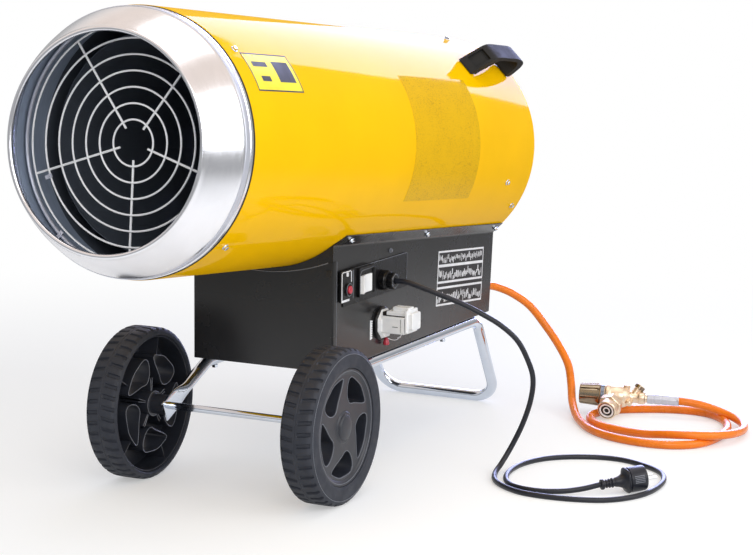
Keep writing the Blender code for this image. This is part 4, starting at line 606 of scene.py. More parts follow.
def worn_rubber(name, colour, dust):
    """Rubber with pale dust in patches"""
    look = Look(name, colour, 0.62, specular=0.4)
    patches = look.between(look.noise(22, 6, 0.65), 0.45, 0.8, 0, 0.5)
    look.colour(look.blend(patches, colour, dust))
    look.roughness(look.between(look.noise(60, 4), 0.3, 0.7, 0.52, 0.75))
    look.bump(look.noise(1100, 3), 0.0002, 0.4)
    return look


def cast_brass(name, colour, roughness):
    """Brass: machined faces with a slight tarnish in patches"""
    look = Look(name, colour, roughness, metallic=1)
    tarnish = look.between(look.noise(55, 6, 0.7), 0.4, 0.75, 0, 0.7)
    look.colour(look.blend(tarnish, colour, tuple(part * 0.50 for part in colour)))
    look.roughness(look.between(look.noise(120, 5), 0.3, 0.7, roughness * 0.8, roughness * 1.5))
    look.bump(look.noise(420, 4), 0.00025, 0.25)
    return look


def plated(name, colour, low, high, metallic=1):
    """Plated steel with clouded gloss"""
    look = Look(name, colour, low, metallic=metallic)
    mottled(look, colour, 0.05, 20)
    look.roughness(look.between(look.noise(45, 5), 0.3, 0.7, low, high))
    return look


def printed_rows(name, colour, ink):
    """A film label covered with fine marks that say nothing"""
    look = Look(name, colour, 0.42, coat=0.28, coat_roughness=0.05, specular=0)
    grain = look.node("Mapping", Vector=look.place)
    grain.inputs["Scale"].default_value = (430, 230, 430)
    marks = look.noise(1, 3, 0.7, grain.outputs["Vector"])
    blots = look.noise(15, 3, 0.6)
    share = look.between(blots, 0.35, 0.65, 0.25, 1)
    strength = look.math("MULTIPLY", look.between(marks, 0.50, 0.64, 0.08, 0.8), share)
    look.colour(look.blend(strength, colour, ink))
    return look


def black_paint_with_painted_reflection(name):
    """Black powder coat, with a painted reflection of the lit floor: paler towards the bottom of the box"""
    look = Look(name, (0.010, 0.010, 0.010), 0.25, specular=0.48)
    height = look.node("SeparateXYZ", Vector=look.place).outputs["Z"]
    # painted reflection: the colour grows paler towards the bottom of the box, for the lit floor seen in the
    # glossy paint, varied a little by noise
    dust = look.between(height, 0.19, 0.36, 1, 0)
    spread = look.math("MULTIPLY", dust, look.between(look.noise(7, 4), 0.3, 0.7, 0.75, 1))
    look.colour(look.blend(spread, (0.009, 0.0085, 0.008), (0.024, 0.025, 0.029)))
    look.roughness(look.between(look.noise(14, 5), 0.3, 0.7, 0.22, 0.30))
    look.bump(look.noise(900, 2), 0.00008, 0.3)
    return look


def steel_wire():
    """Plain drawn wire, a little rough"""
    look = plated("plain steel wire", (0.95, 0.96, 0.98), 0.25, 0.40, 0.05)
    look.bump(look.noise(700, 3), 0.00006, 0.3)
    return look


def metal_looks():
    """Painted, plated and bare metals, as (finish, slot in the record, look)"""
    return [
        ("yellow_paint", "yellow_paint",
         painted("yellow powder coat", (0.97, 0.54, 0.0012), 0.45, 0.21, 0.00003, 0.06, 0)),
        ("black_paint", "black_paint", black_paint_with_painted_reflection("black powder coat")),
        ("bright_sheet", "bright_sheet", sheet_metal("rolled bright sheet", (0.89, 0.90, 0.95), 0.20, 0.02)),
        ("groove", "bright_sheet", sheet_metal("dulled band", (0.60, 0.62, 0.70), 0.42, 0.06, metallic=0.6)),
        # painted light: a paler, bluish copy of the inner sheet, for the light that falls in at the mouth
        ("sleeve", "inner_sheet", sheet_metal("inner sheet painted lit", (0.36, 0.43, 0.55), 0.45, 0.15, metallic=0.35)),
        ("inner_sheet", "inner_sheet",
         sheet_metal("heat dulled sheet", (0.085, 0.10, 0.125), 0.6, 0.2, metallic=0.2)),
        ("dull_wire", "dull_wire", steel_wire()),
        ("chromed_tube", "chromed_tube", plated("plated tube", (0.66, 0.71, 0.80), 0.05, 0.12)),
        ("fan_metal", "fan_metal", sheet_metal("cast fan metal", (0.50, 0.51, 0.52), 0.45, 0.06)),
    ]


def moulded_looks():
    """Rubber and plastic, as (finish, slot in the record, look)"""
    return [
        ("tyre", "tyre", worn_rubber("tyre rubber", (0.026, 0.030, 0.042), (0.048, 0.053, 0.070))),
        ("black_plastic", "black_plastic",
         moulded("black moulded plastic", (0.006, 0.006, 0.007), 0.28, specular=0.35)),
        ("rim", "black_plastic", moulded("dark grey moulded plastic", (0.024, 0.027, 0.037), 0.36)),
        # pale grey for the thin beads, lines and ticks that paint highlights on edges
        ("edge", "black_plastic", moulded("pale grey for painted highlights", (0.16, 0.17, 0.20), 0.40, 0.00002)),
        ("handle", "black_plastic",
         moulded("soft black grip", (0.024, 0.023, 0.022), 0.58, 0.00012, 1000, specular=0.10)),
        ("white_plastic", "white_plastic",
         moulded("white moulded plastic", (0.93, 0.95, 0.98), 0.32, 0.00004)),
        ("red_plastic", "red_plastic", moulded("red plastic", (0.50, 0.035, 0.06), 0.22, 0.00003)),
        ("ceramic", "ceramic", moulded("glazed ceramic", (0.75, 0.72, 0.66), 0.25, 0.00003)),
    ]


def small_looks():
    """Brass, cords and films, as (finish, slot in the record, look)"""
    return [
        ("brass", "brass", cast_brass("machined brass", (0.88, 0.72, 0.55), 0.32)),
        ("bronze", "brass", cast_brass("browned brass", (0.36, 0.30, 0.22), 0.16)),
        ("dull_brass", "brass", cast_brass("blued band", (0.22, 0.25, 0.32), 0.20)),
        ("cable", "cable", moulded("rubber sheath", (0.013, 0.015, 0.023), 0.36, 0.0001, 900, specular=0.4)),
        ("orange_hose", "orange_hose",
         moulded("orange rubber", (0.90, 0.215, 0.012), 0.26, 0.00008, 900, specular=0.35)),
        ("patch", "yellow_paint", printed_rows("ochre film", (0.80, 0.47, 0.003), (0.42, 0.22, 0.01))),
        ("sticker", "yellow_paint", moulded("lemon film", (0.97, 0.76, 0.004), 0.30, 0.00001, specular=0.1)),
        ("paper", "white_plastic", moulded("pale film", (0.80, 0.81, 0.84), 0.40, 0.00001)),
        # dark print, also used for the painted shade in the gap at the cone
        ("ink", "black_plastic", moulded("dark print and painted shade", (0.020, 0.018, 0.016), 0.45, 0.00001, specular=0.3)),
    ]


def make_finishes():
    """Every finish, as its material and its slot in the record"""
    looks = metal_looks() + moulded_looks() + small_looks()
    return {name: (look.material, slot) for name, slot, look in looks}


def dress_nodes(finish):
    """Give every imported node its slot's finish"""
    for part in frame["record"]["subparts"]:
        node = frame["nodes"][part["node"]]
        node.data.materials.clear()
        node.data.materials.append(finish[part["material_slot"]][0])


def make_camera():
    """The photograph's viewpoint"""
    data = bpy.data.cameras.new("photo view")
    data.lens = CAMERA_LENS
    data.sensor_width = SENSOR_WIDTH
    data.clip_end = CAMERA_REACH
    camera = bpy.data.objects.new("photo view", data)
    bpy.context.scene.collection.objects.link(camera)
    back = Vector((
        math.sin(CAMERA_YAW) * math.cos(CAMERA_PITCH),
        -math.cos(CAMERA_YAW) * math.cos(CAMERA_PITCH),
        math.sin(CAMERA_PITCH),
    ))
    right = Vector((math.cos(CAMERA_YAW), math.sin(CAMERA_YAW), 0))
    up = back.cross(right)
    tilted_right = right * math.cos(CAMERA_ROLL) + up * math.sin(CAMERA_ROLL)
    tilted_up = up * math.cos(CAMERA_ROLL) - right * math.sin(CAMERA_ROLL)
    matrix = Matrix((tilted_right, tilted_up, back)).transposed().to_4x4()
    matrix.translation = CAMERA_PLACE
    camera.matrix_world = matrix
    bpy.context.scene.camera = camera


class Wiring:
    """Short calls for the nodes of the floor and the world"""

    def __init__(self, tree):
        self.tree = tree
        self.rays = tree.nodes.new("ShaderNodeLightPath").outputs

    def math(self, operation, first, second):
        made = self.tree.nodes.new("ShaderNodeMath")
        made.operation = operation
        for socket, value in zip(made.inputs, (first, second)):
            if isinstance(value, bpy.types.NodeSocket):
                self.tree.links.new(value, socket)
            else:
                socket.default_value = value
        return made.outputs[0]

    def seen(self):
        """1 for what the camera, a gloss or a glass sees"""
        mirrored = self.math("MAXIMUM", self.rays["Is Glossy Ray"], self.rays["Is Transmission Ray"])
        return self.math("MAXIMUM", self.rays["Is Camera Ray"], mirrored)

    def ranged(self, value, low, high, start, end):
        made = self.tree.nodes.new("ShaderNodeMapRange")
        made.interpolation_type = "SMOOTHSTEP"
        self.tree.links.new(value, made.inputs["Value"])
        for name, number in (("From Min", low), ("From Max", high), ("To Min", start), ("To Max", end)):
            made.inputs[name].default_value = number
        return made.outputs["Result"]

    def mix(self, factor, first, second, target):
        made = self.tree.nodes.new("ShaderNodeMixShader")
        for socket, value in zip(made.inputs, (factor, first, second)):
            self.tree.links.new(value, socket)
        self.tree.links.new(made.outputs[0], target)


def make_world():
    """White to the camera; in gloss, a dim studio with a warm ceiling"""
    world = bpy.data.worlds.new("studio")
    bpy.context.scene.world = world
    world.use_nodes = True
    tree = world.node_tree
    tree.nodes.clear()
    wiring = Wiring(tree)
    split = tree.nodes.new("ShaderNodeSeparateXYZ")
    tree.links.new(tree.nodes.new("ShaderNodeTexCoord").outputs["Generated"], split.inputs[0])
    ceiling = wiring.ranged(split.outputs["Z"], 0.10, 0.70, 0, 1)
    gloss = wiring.ranged(split.outputs["Z"], 0.10, 0.50, SKY_GLOSS, CEILING_GLOSS)
    tint = tree.nodes.new("ShaderNodeValToRGB")
    tree.links.new(ceiling, tint.inputs[0])
    tint.color_ramp.elements[0].color = (1, 1, 1, 1)
    tint.color_ramp.elements[1].color = (*CEILING_TINT, 1)
    lit = tree.nodes.new("ShaderNodeBackground")
    lit.inputs["Strength"].default_value = WORLD_LEVEL
    lit.inputs["Color"].default_value = (0.97, 0.98, 1.0, 1)
    shown = tree.nodes.new("ShaderNodeBackground")
    tree.links.new(wiring.math("MAXIMUM", wiring.rays["Is Camera Ray"], gloss), shown.inputs["Strength"])
    tree.links.new(tint.outputs["Color"], shown.inputs["Color"])
    out = tree.nodes.new("ShaderNodeOutputWorld")
    wiring.mix(wiring.seen(), lit.outputs[0], shown.outputs[0], out.inputs["Surface"])


def floor_material():
    """A pale floor that keeps the shadows near the object and fades to white further out, dimmer in gloss"""
    material = bpy.data.materials.new("pale floor")
    material.use_nodes = True
    tree = material.node_tree
    shader = tree.nodes["Principled BSDF"]
    shader.inputs["Base Color"].default_value = (FLOOR_SHADE, FLOOR_SHADE, FLOOR_SHADE, 1)
    shader.inputs["Roughness"].default_value = 0.9
    shader.inputs["Specular IOR Level"].default_value = 0.1
    shader.inputs["Emission Color"].default_value = (1, 1, 1, 1)
    wiring = Wiring(tree)
    seen = wiring.seen()
    tree.links.new(wiring.math("MULTIPLY", seen, FLOOR_LIFT), shader.inputs["Emission Strength"])
    length = tree.nodes.new("ShaderNodeVectorMath")
    length.operation = "LENGTH"
    tree.links.new(tree.nodes.new("ShaderNodeTexCoord").outputs["Object"], length.inputs[0])
    away = wiring.ranged(length.outputs["Value"], FLOOR_FADE[0], FLOOR_FADE[1], 0, 1)
    white = tree.nodes.new("ShaderNodeEmission")
    tree.links.new(wiring.math("MAXIMUM", wiring.rays["Is Camera Ray"], FAR_GLOSS), white.inputs["Strength"])
    out = tree.nodes["Material Output"]
    blend = wiring.math("MULTIPLY", seen, away)
    wiring.mix(blend, shader.outputs[0], white.outputs[0], out.inputs["Surface"])
    return material


def make_stage():
    """Pale floor, white surroundings and soft studio lamps"""
    bpy.context.scene.view_settings.view_transform = "Standard"
    make_world()
    floor = bmesh.new()
    bmesh.ops.create_grid(floor, x_segments=1, y_segments=1, size=FLOOR_REACH)
    mesh = bpy.data.meshes.new("floor")
    floor.to_mesh(mesh)
    floor.free()
    floor = bpy.data.objects.new("floor", mesh)
    bpy.context.scene.collection.objects.link(floor)
    mesh.materials.append(floor_material())
    for row in LAMPS:
        lamp(*row)
    rear = lamp(*REAR_LAMP)
    rear.data.color = REAR_COLOUR
    rear.visible_diffuse = False


def lamp(name, place, target, width, height, level):
    """A soft rectangular lamp, whose face is as bright as its level"""
    data = bpy.data.lights.new(name, "AREA")
    data.shape = "RECTANGLE"
    data.size = width
    data.size_y = height
    data.energy = level * math.pi * width * height
    obj = bpy.data.objects.new(name, data)
    bpy.context.scene.collection.objects.link(obj)
    obj.location = place
    obj.rotation_mode = "QUATERNION"
    obj.rotation_quaternion = (Vector(target) - Vector(place)).to_track_quat("-Z", "Y")
    obj.visible_camera = False
    return obj


def smooth_cord(name, points, radius, finish, node):
    """A cord as one smooth bevelled curve, none of it under the floor"""
    data = bpy.data.curves.new(name, "CURVE")
    data.dimensions = "3D"
    data.bevel_depth = radius
    data.bevel_resolution = 6
    data.use_fill_caps = True
    data.materials.append(finish[0])
    points = [Vector(point) for point in points]
    padded = [points[0] * 2 - points[1]] + points + [points[-1] * 2 - points[-2]]
    parts = 6
    fine = []
    for before, start, end, after in zip(padded, padded[1:], padded[2:], padded[3:]):
        for part in range(parts):
            share = part / parts
            fine.append((
                start * 2 + (end - before) * share
                + (before * 2 - start * 5 + end * 4 - after) * share ** 2
                + (start * 3 - before - end * 3 + after) * share ** 3
            ) / 2)
    fine.append(points[-1])
    spline = data.splines.new("POLY")
    spline.points.add(len(fine) - 1)
    for target, point in zip(spline.points, fine):
        point.z = max(point.z, radius)
        target.co = (*point, 1)
    obj = bpy.data.objects.new(name, data)
    bpy.context.scene.collection.objects.link(obj)
    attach(obj, "heater")
    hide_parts(node)
    return obj


def plug_heading():
    """The way the mains plug points"""
    return Vector((
        math.cos(PLUG_HEADING) * math.cos(PLUG_RISE),
        math.sin(PLUG_HEADING) * math.cos(PLUG_RISE),
        math.sin(PLUG_RISE),
    ))


def make_cords(finish):
    """The mains cable and the gas hose"""
    cable_end = PLUG_START - plug_heading() * CABLE_RADIUS
    cable = smooth_cord(
        "mains_cable_run", [CABLE_EXIT - Vector((CABLE_RADIUS, 0, 0)), *CABLE_ROUTE, cable_end, PLUG_START],
        CABLE_RADIUS, finish["cable"], "mains_cable",
    )
    line = (FERRULE_END - KNOB_CENTRE).normalized()
    hose = smooth_cord(
        "gas_hose_run", [HOSE_EXIT, *HOSE_ROUTE, FERRULE_END + line * HOSE_RADIUS, FERRULE_END],
        HOSE_RADIUS, finish["orange_hose"], "gas_hose",
    )
    return cable, hose


def flat(points):
    """The first two numbers of each point"""
    return [(point[0], point[1]) for point in points]


def make_drum(finish):
    """The painted casing, with a rolled front edge and a lip turned in at the rear, and its dull liner"""
    wall = DRUM_WALL
    inner = DRUM_RADIUS - wall
    lip = DRUM_RADIUS - LIP_DEPTH
    outline = rounded((
        (0, inner), (0, DRUM_RADIUS), (DRUM_LENGTH, DRUM_RADIUS), (DRUM_LENGTH, lip),
        (DRUM_LENGTH - wall, lip), (DRUM_LENGTH - wall, inner), (0.001, inner),
    ), 0.0012, 4)
    piece(
        "casing", turned(flat(outline), DRUM_STEPS, closed=True), finish["yellow_paint"], at=DRUM,
        stands_for=["drum_casing"],
    )
    skin = inner - 0.0002
    back = skin - 0.0004
    end = DRUM_LENGTH - LINER_SHORT
    liner = [(LINER_START, skin), (end, skin), (end, back), (LINER_START, back)]
    piece("casing_liner", turned(liner, RING_STEPS, closed=True), finish["inner_sheet"], at=DRUM)


def skin_seat(turn, along):
    """A seat on the drum's skin, with local Y pointing straight out of it"""
    place = Matrix.Rotation(math.radians(turn), 4, "Y") @ Matrix.Translation((0, along, DRUM_RADIUS))
    return place @ Matrix.Rotation(math.pi / 2, 4, "X")


def hex_screw(size=1.0):
    """A hexagon head on its flange, sitting at the origin and pointing along local Y"""
    flange = rounded(((0, 0), (0, 0.0055), (0.0012, 0.0052), (0.0014, 0)), 0.0004)
    head = ((0.0010, 0), (0.0010, 0.0042), (0.0042, 0.0042), (0.0048, 0.0034), (0.0048, 0.0020), (0.0042, 0))
    both = merged(turned(flat(flange), 24), turned(head, 6))
    return placed(both, Matrix.Scale(size, 4))


def make_drum_screws(finish):
    """Hexagon screws through the casing at the cone and round the rear"""
    spots = [(45 + 90 * index, 0.0275) for index in range(4)]
    for side in (1, -1):
        spots += [(side * 107, 0.951), (side * 121, 1.025), (side * 12, 0.985)]
    parts = [placed(hex_screw(), skin_seat(turn, along)) for turn, along in spots]
    piece("casing_screws", merged(*parts), finish["chromed_tube"], at=DRUM)


def wrap(along, turn, lift):
    """A film on the drum's skin, between two stations and two angles in degrees"""
    steps = max(2, math.ceil((turn[1] - turn[0]) / 2))
    low = DRUM_RADIUS + lift
    high = low + FILM_THICK
    section = ((along[0], low), (along[1], low), (along[1], high), (along[0], high))
    rings = []
    for step in range(steps + 1):
        angle = math.radians(turn[0] + (turn[1] - turn[0]) * step / steps)
        sine = math.sin(angle)
        cosine = math.cos(angle)
        rings.append([Vector((reach * sine, place, reach * cosine)) for place, reach in section])
    return skinned(rings)


def make_labels(finish):
    """Plain films where the printed ones are: one ochre with fine marks, one lemon with plain shapes"""
    piece("ochre_film", wrap((0.5355, 0.800), (53, 115), FILM_LIFT), finish["patch"], at=DRUM)
    start, end, low, high = 0.036, 0.172, 46.5, 65
    piece("lemon_film", wrap((start, end), (low, high), FILM_LIFT), finish["sticker"], at=DRUM)
    rim = 0.0022
    rise = math.degrees(rim / DRUM_RADIUS)
    bars = (
        ((start, end), (low, low + rise)), ((start, end), (high - rise, high)),
        ((start, start + rim), (low, high)), ((end - rim, end), (low, high)),
        ((0.112, 0.160), (50.5, 60.5)), ((0.052, 0.094), (51, 53.4)), ((0.060, 0.086), (58, 60.4)),
    )
    lines = [wrap(along, turn, PRINT_LIFT) for along, turn in bars]
    piece("lemon_film_print", merged(*lines), finish["ink"], at=DRUM)


def make_cone(finish):
    """The bright outlet cone: a band in the casing, a dull step, the spun cone and its rolled lip"""
    band = CONE_BAND
    wide = band - 0.002
    outer = [
        (0.018, band), (-0.0095, band), (-0.0110, band - 0.0022), (-0.0215, band - 0.0022),
        (CONE_START, wide),
    ]
    for step in range(1, CONE_STEPS):
        share = step / CONE_STEPS
        bulge = 0.002 * 4 * share * (1 - share)
        radius = wide + (CONE_MOUTH + LIP_ROLL - wide) * share + bulge
        outer.append((CONE_START - CONE_RUN * share, radius))
    lip = []
    for step in range(LIP_STEPS + 1):
        turn = math.pi * 1.5 * step / LIP_STEPS
        along = CONE_END + LIP_ROLL - math.sin(turn) * LIP_ROLL
        lip.append((along, CONE_MOUTH + math.cos(turn) * LIP_ROLL))
    inner = [(along, radius - CONE_SHEET) for along, radius in reversed(outer)]
    cone = turned(outer + lip + inner, DRUM_STEPS, closed=True)
    piece("spun_cone", cone, finish["bright_sheet"], at=DRUM, stands_for=["outlet_cone"])
    step = flat(rounded((
        (-0.0100, band - 0.0018), (-0.0108, band - 0.0008), (-0.0220, band - 0.0008),
        (-0.0230, band - 0.0020), (-0.0220, band - 0.0026), (-0.0108, band - 0.0026),
    ), 0.0004, 2, closed=True))
    piece("dull_step", turned(step, DRUM_STEPS, closed=True), finish["groove"], at=DRUM)
    # painted shade: a dark ring in the gap between the casing and the cone's band
    low = band - 0.0001
    high = band + 0.0008
    gap = ((-0.0020, low), (-0.0020, high), (0.0006, high), (0.0006, low))
    piece("shadow_gap", turned(gap, DRUM_STEPS, closed=True), finish["ink"], at=DRUM)
    # painted light: a paler, bluish copy of the dark inner sheet, for the light that falls in at the mouth
    inside = ((-0.0205, 0.1947), (0.055, 0.1947), (0.055, 0.1943), (-0.0205, 0.1943))
    piece("lit_inner_sleeve", turned(inside, RING_STEPS, closed=True), finish["sleeve"], at=DRUM)


def ring_path(radius, along, steps=RING_STEPS):
    """Points of a circle round local Y"""
    turns = [math.tau * index / steps for index in range(steps)]
    return [Vector((radius * math.sin(turn), along, radius * math.cos(turn))) for turn in turns]


def wire_ring(radius, along, wire):
    """A ring of wire round local Y"""
    return tube(ring_path(radius, along), wire, 8, loop=True, side=(0, 1, 0))


def wire_spoke(start, end, along, wire, turn):
    """A straight wire from one radius to another, at an angle round local Y"""
    spoke = tube([Vector((start, along, 0)), Vector((end, along, 0))], wire, 8, side=(0, 0, 1))
    return placed(spoke, Matrix.Rotation(turn, 4, "Y"))


def make_grille(finish):
    """The concentric wires in the outlet, their spokes, and the ring and clips that hold them"""
    parts = [wire_ring(GRILLE_FIRST + GRILLE_PITCH * index, -0.006, 0.0015) for index in range(GRILLE_RINGS)]
    for index in range(GRILLE_SPOKES):
        turn = math.radians(90) - math.tau * index / GRILLE_SPOKES
        parts.append(wire_spoke(0.025, 0.1770, -0.0033, 0.0018, turn))
    piece("outlet_wires", merged(*parts), finish["dull_wire"], at=DRUM, stands_for=["outlet_grille"])
    piece("outlet_ring", wire_ring(0.1868, -0.004, 0.0028), finish["groove"], at=DRUM)
    clips = []
    for turn, radius in ((126, 0.183), (-8, 0.183), (-140, 0.183), (-112, 0.152)):
        seat = Matrix.Translation((0, -0.0092, radius + 0.0015)) @ Matrix.Rotation(math.pi, 4, "X")
        strap = block((-0.003, -0.0095, radius - 0.0045), (0.003, -0.0080, radius + 0.0075))
        clip = merged(strap, placed(hex_screw(0.5), seat))
        clips.append(placed(clip, Matrix.Rotation(math.radians(turn), 4, "Y")))
    piece("grille_clips", merged(*clips), finish["groove"], at=DRUM)


def make_guard(finish):
    """The close wire guard over the air inlet, with its spokes behind"""
    place = DRUM_LENGTH - DRUM_WALL - SEAT_GAP - 0.0022
    parts = [wire_ring(GUARD_FIRST + GUARD_PITCH * index, place, 0.0013) for index in range(GUARD_RINGS)]
    parts.append(wire_ring(GUARD_RIM, place, 0.0021))
    for index in range(GUARD_SPOKES):
        turn = math.radians(22.5) + math.tau * index / GUARD_SPOKES
        parts.append(wire_spoke(0.016, GUARD_RIM, place - 0.0026, 0.0015, turn))
    piece("inlet_wires", merged(*parts), finish["dull_wire"], at=DRUM, stands_for=["rear_guard"])


def make_handles(finish):
    """A pair of moulded strap handles, each with a pocket in its front leg"""
    base = DRUM_RADIUS + SEAT_GAP
    half = HANDLE_WIDTH / 2
    outline = [
        Vector((-half, HANDLE_START + HANDLE_LENGTH * along, base + HANDLE_HEIGHT * out))
        for along, out in HANDLE_OUTER_SHARES + HANDLE_INNER_SHARES
    ]
    outline = rounded(outline, 0.010, 4, closed=True)
    foot = Vector((0, HANDLE_START, base + HANDLE_HEIGHT * HANDLE_OUTER_SHARES[1][1]))
    share = HANDLE_OUTER_SHARES[2]
    top = Vector((0, HANDLE_START + HANDLE_LENGTH * share[0], base + HANDLE_HEIGHT * share[1]))
    along = (top - foot).normalized()
    leg = (top - foot).length
    out = Vector((1, 0, 0)).cross(along)
    seat = Matrix((Vector((1, 0, 0)), along, out)).transposed().to_4x4()
    seat.translation = foot
    for name, side in PAIR:
        pocket = placed(block((-0.0122, leg * 0.28, -0.0060), (0.0122, leg * 0.99, 0.010)), seat)
        turn = Matrix.Rotation(side * HANDLE_ANGLE, 4, "Y")
        piece(
            "grip_" + name, slab(outline, (HANDLE_WIDTH, 0, 0)), finish["handle"], at=DRUM @ turn,
            stands_for=["handle_" + name], edge=0.0028, segments=3, cutter=pocket,
        )


def folded_sheet(plan, low, high):
    """An upright bent sheet along (x, y) points, walked with its inside to the right"""
    rings = []
    last = len(plan) - 1
    for index, point in enumerate(plan):
        walk = (plan[min(index + 1, last)] - plan[max(index - 1, 0)]).normalized()
        inside = point + Vector((walk.y, -walk.x)) * BOX_SHEET
        top = high(point.x)
        rings.append([
            Vector((point.x, point.y, low)), Vector((point.x, point.y, top)),
            Vector((inside.x, inside.y, top)), Vector((inside.x, inside.y, low)),
        ])
    return skinned(rings)


def cover_top(x):
    """Height of the front cover's hollow top edge"""
    reach = min(abs(x), 0.124)
    return BOX_BOTTOM + 0.156 + 0.335 - math.sqrt(0.335 ** 2 - reach ** 2)


def make_cover(finish):
    """The front cover, folded round both sides of the box, with painted highlights on its edges"""
    rear = BOX_FRONT + 0.012
    plan = rounded((
        (BOX_HALF, rear), (BOX_HALF, BOX_FRONT), (-BOX_HALF, BOX_FRONT), (-BOX_HALF, rear),
    ), 0.0035, 6)
    cover = folded_sheet(divided(plan, 0.005), BOX_BOTTOM, cover_top)
    piece("folded_cover", cover, finish["black_paint"], stands_for=["housing_front"], smooth=30)
    # painted highlight: thin pale tubes along the hollow top edge and down the two folds
    rims = [Vector((x / 100, BOX_FRONT + 0.0006, cover_top(x / 100))) for x in range(-12, 13)]
    edges = [tube(rims, 0.0009, 8)]
    for side in (1, -1):
        low = Vector((side * (BOX_HALF - 0.0004), rear, BOX_BOTTOM))
        edges.append(tube([low, Vector((low.x, rear, cover_top(BOX_HALF)))], 0.0007, 8))
    piece("cover_edges", merged(*edges), finish["edge"])
    latch = block((0.1165, BOX_FRONT - 0.0016, 0.3440), (0.1275, BOX_FRONT + 0.0002, 0.3540))
    piece("cover_latch", latch, finish["ink"], edge=0.0006)


def tray_corners():
    """The tray's right half as (x, depth) or (x, height) corners, outer then inner"""
    outer = DRUM_RADIUS + SEAT_GAP + BOX_SHEET
    inner = DRUM_RADIUS + SEAT_GAP
    half = FLANGE_WIDTH / 2
    lean = math.asin(BOX_WALL / math.hypot(outer, half)) + math.atan2(half, outer)

    def flange(distance, reach):
        x = distance * math.sin(lean) + reach * math.cos(lean)
        return x, distance * math.cos(lean) - reach * math.sin(lean)

    wall = BOX_WALL - BOX_SHEET
    fold = (wall - inner * math.sin(lean)) / math.cos(lean)
    outside = [flange(outer, half), (BOX_WALL, flange(outer, -half)[1]), (BOX_WALL, None, BOX_BOTTOM)]
    inside = [(wall, None, BOX_BOTTOM + BOX_SHEET), (wall, flange(inner, fold)[1]), flange(inner, half)]
    return outside, inside


def make_tray(finish):
    """The folded sheet tray under the drum, with side flanges that lie on the drum"""
    front_y = BOX_FRONT + BOX_SHEET + SEAT_GAP
    slant = 0.016
    cosine = math.cos(DRUM_TILT)
    sine = math.sin(DRUM_TILT)

    def front(x, depth, height=None, back=0):
        if height is not None:
            return Vector((x, front_y, height))
        along = (front_y + back - DRUM_FRONT.y + depth * sine) / cosine
        return DRUM @ Vector((x, along, -depth))

    def rear(x, depth, height=None, back=0):
        if height is not None:
            depth = (DRUM_FRONT.z - height - BOX_REAR * sine) / cosine
        return DRUM @ Vector((x, BOX_REAR, -depth))

    outside, inside = tray_corners()
    rings = []
    for station in (front, rear):
        right = [station(*corner) for corner in outside]
        right_inside = [station(*corner) for corner in inside]
        right[0] = station(*outside[0], back=slant)
        right_inside[-1] = station(*inside[-1], back=slant)
        left = [Vector((-point.x, point.y, point.z)) for point in reversed(right)]
        left_inside = [Vector((-point.x, point.y, point.z)) for point in reversed(right_inside)]
        rings.append(rounded(right + left + left_inside + right_inside, 0.0028, 4, closed=True))
    tray = skinned(rings, strip=True)
    piece("folded_tray", tray, finish["black_paint"], stands_for=["housing_tray"], smooth=40)
    screws = []
    lean = math.degrees(math.asin(BOX_WALL / math.hypot(DRUM_RADIUS, FLANGE_WIDTH / 2))) + 3
    for side in (1, -1):
        for y in (-0.069, 0.223, 0.524):
            depth = DRUM_RADIUS * math.cos(math.radians(lean))
            along = (y - DRUM_FRONT.y + depth * sine) / cosine
            seat = skin_seat(180 - side * lean, along) @ Matrix.Translation((0, 0.0022, 0))
            screws.append(placed(hex_screw(), seat))
    piece("flange_screws", merged(*screws), finish["chromed_tube"], at=DRUM)


def wall_seat(x, y, z):
    """A seat on the control side, with local Y pointing out of the wall"""
    return facing(Vector((x, y, z)), (1, 0, 0))


def button_bore():
    """The room that the reset button slides in"""
    return turned([(0.120, 0), (0.120, BUTTON_ROOM), (0.140, BUTTON_ROOM), (0.140, 0)], 40)


def button_seat():
    """The reset button's frame, with local Y pointing out of the wall"""
    return Matrix.Translation((0, BUTTON_Y, BUTTON_Z)) @ Matrix.Rotation(-math.pi / 2, 4, "Z")


def make_plate(finish):
    """The control plate, with a painted highlight along its edge and the button's bore"""
    piece(
        "side_plate", tile(0.1285, PLATE_FACE, (-0.082, 0.290), (0.157, 0.349), 0.0015),
        finish["black_plastic"], stands_for=["control_plate"], edge=0.0004,
        cutter=placed(button_bore(), button_seat()),
    )
    # painted highlight: a thin pale tube along the plate's top and rear edge
    rim = [Vector((PLATE_FACE, y, z)) for y, z in ((-0.082, 0.3487), (0.1567, 0.3487), (0.1567, 0.3010))]
    piece("plate_edge", tube(rim, 0.0006, 8), finish["edge"])


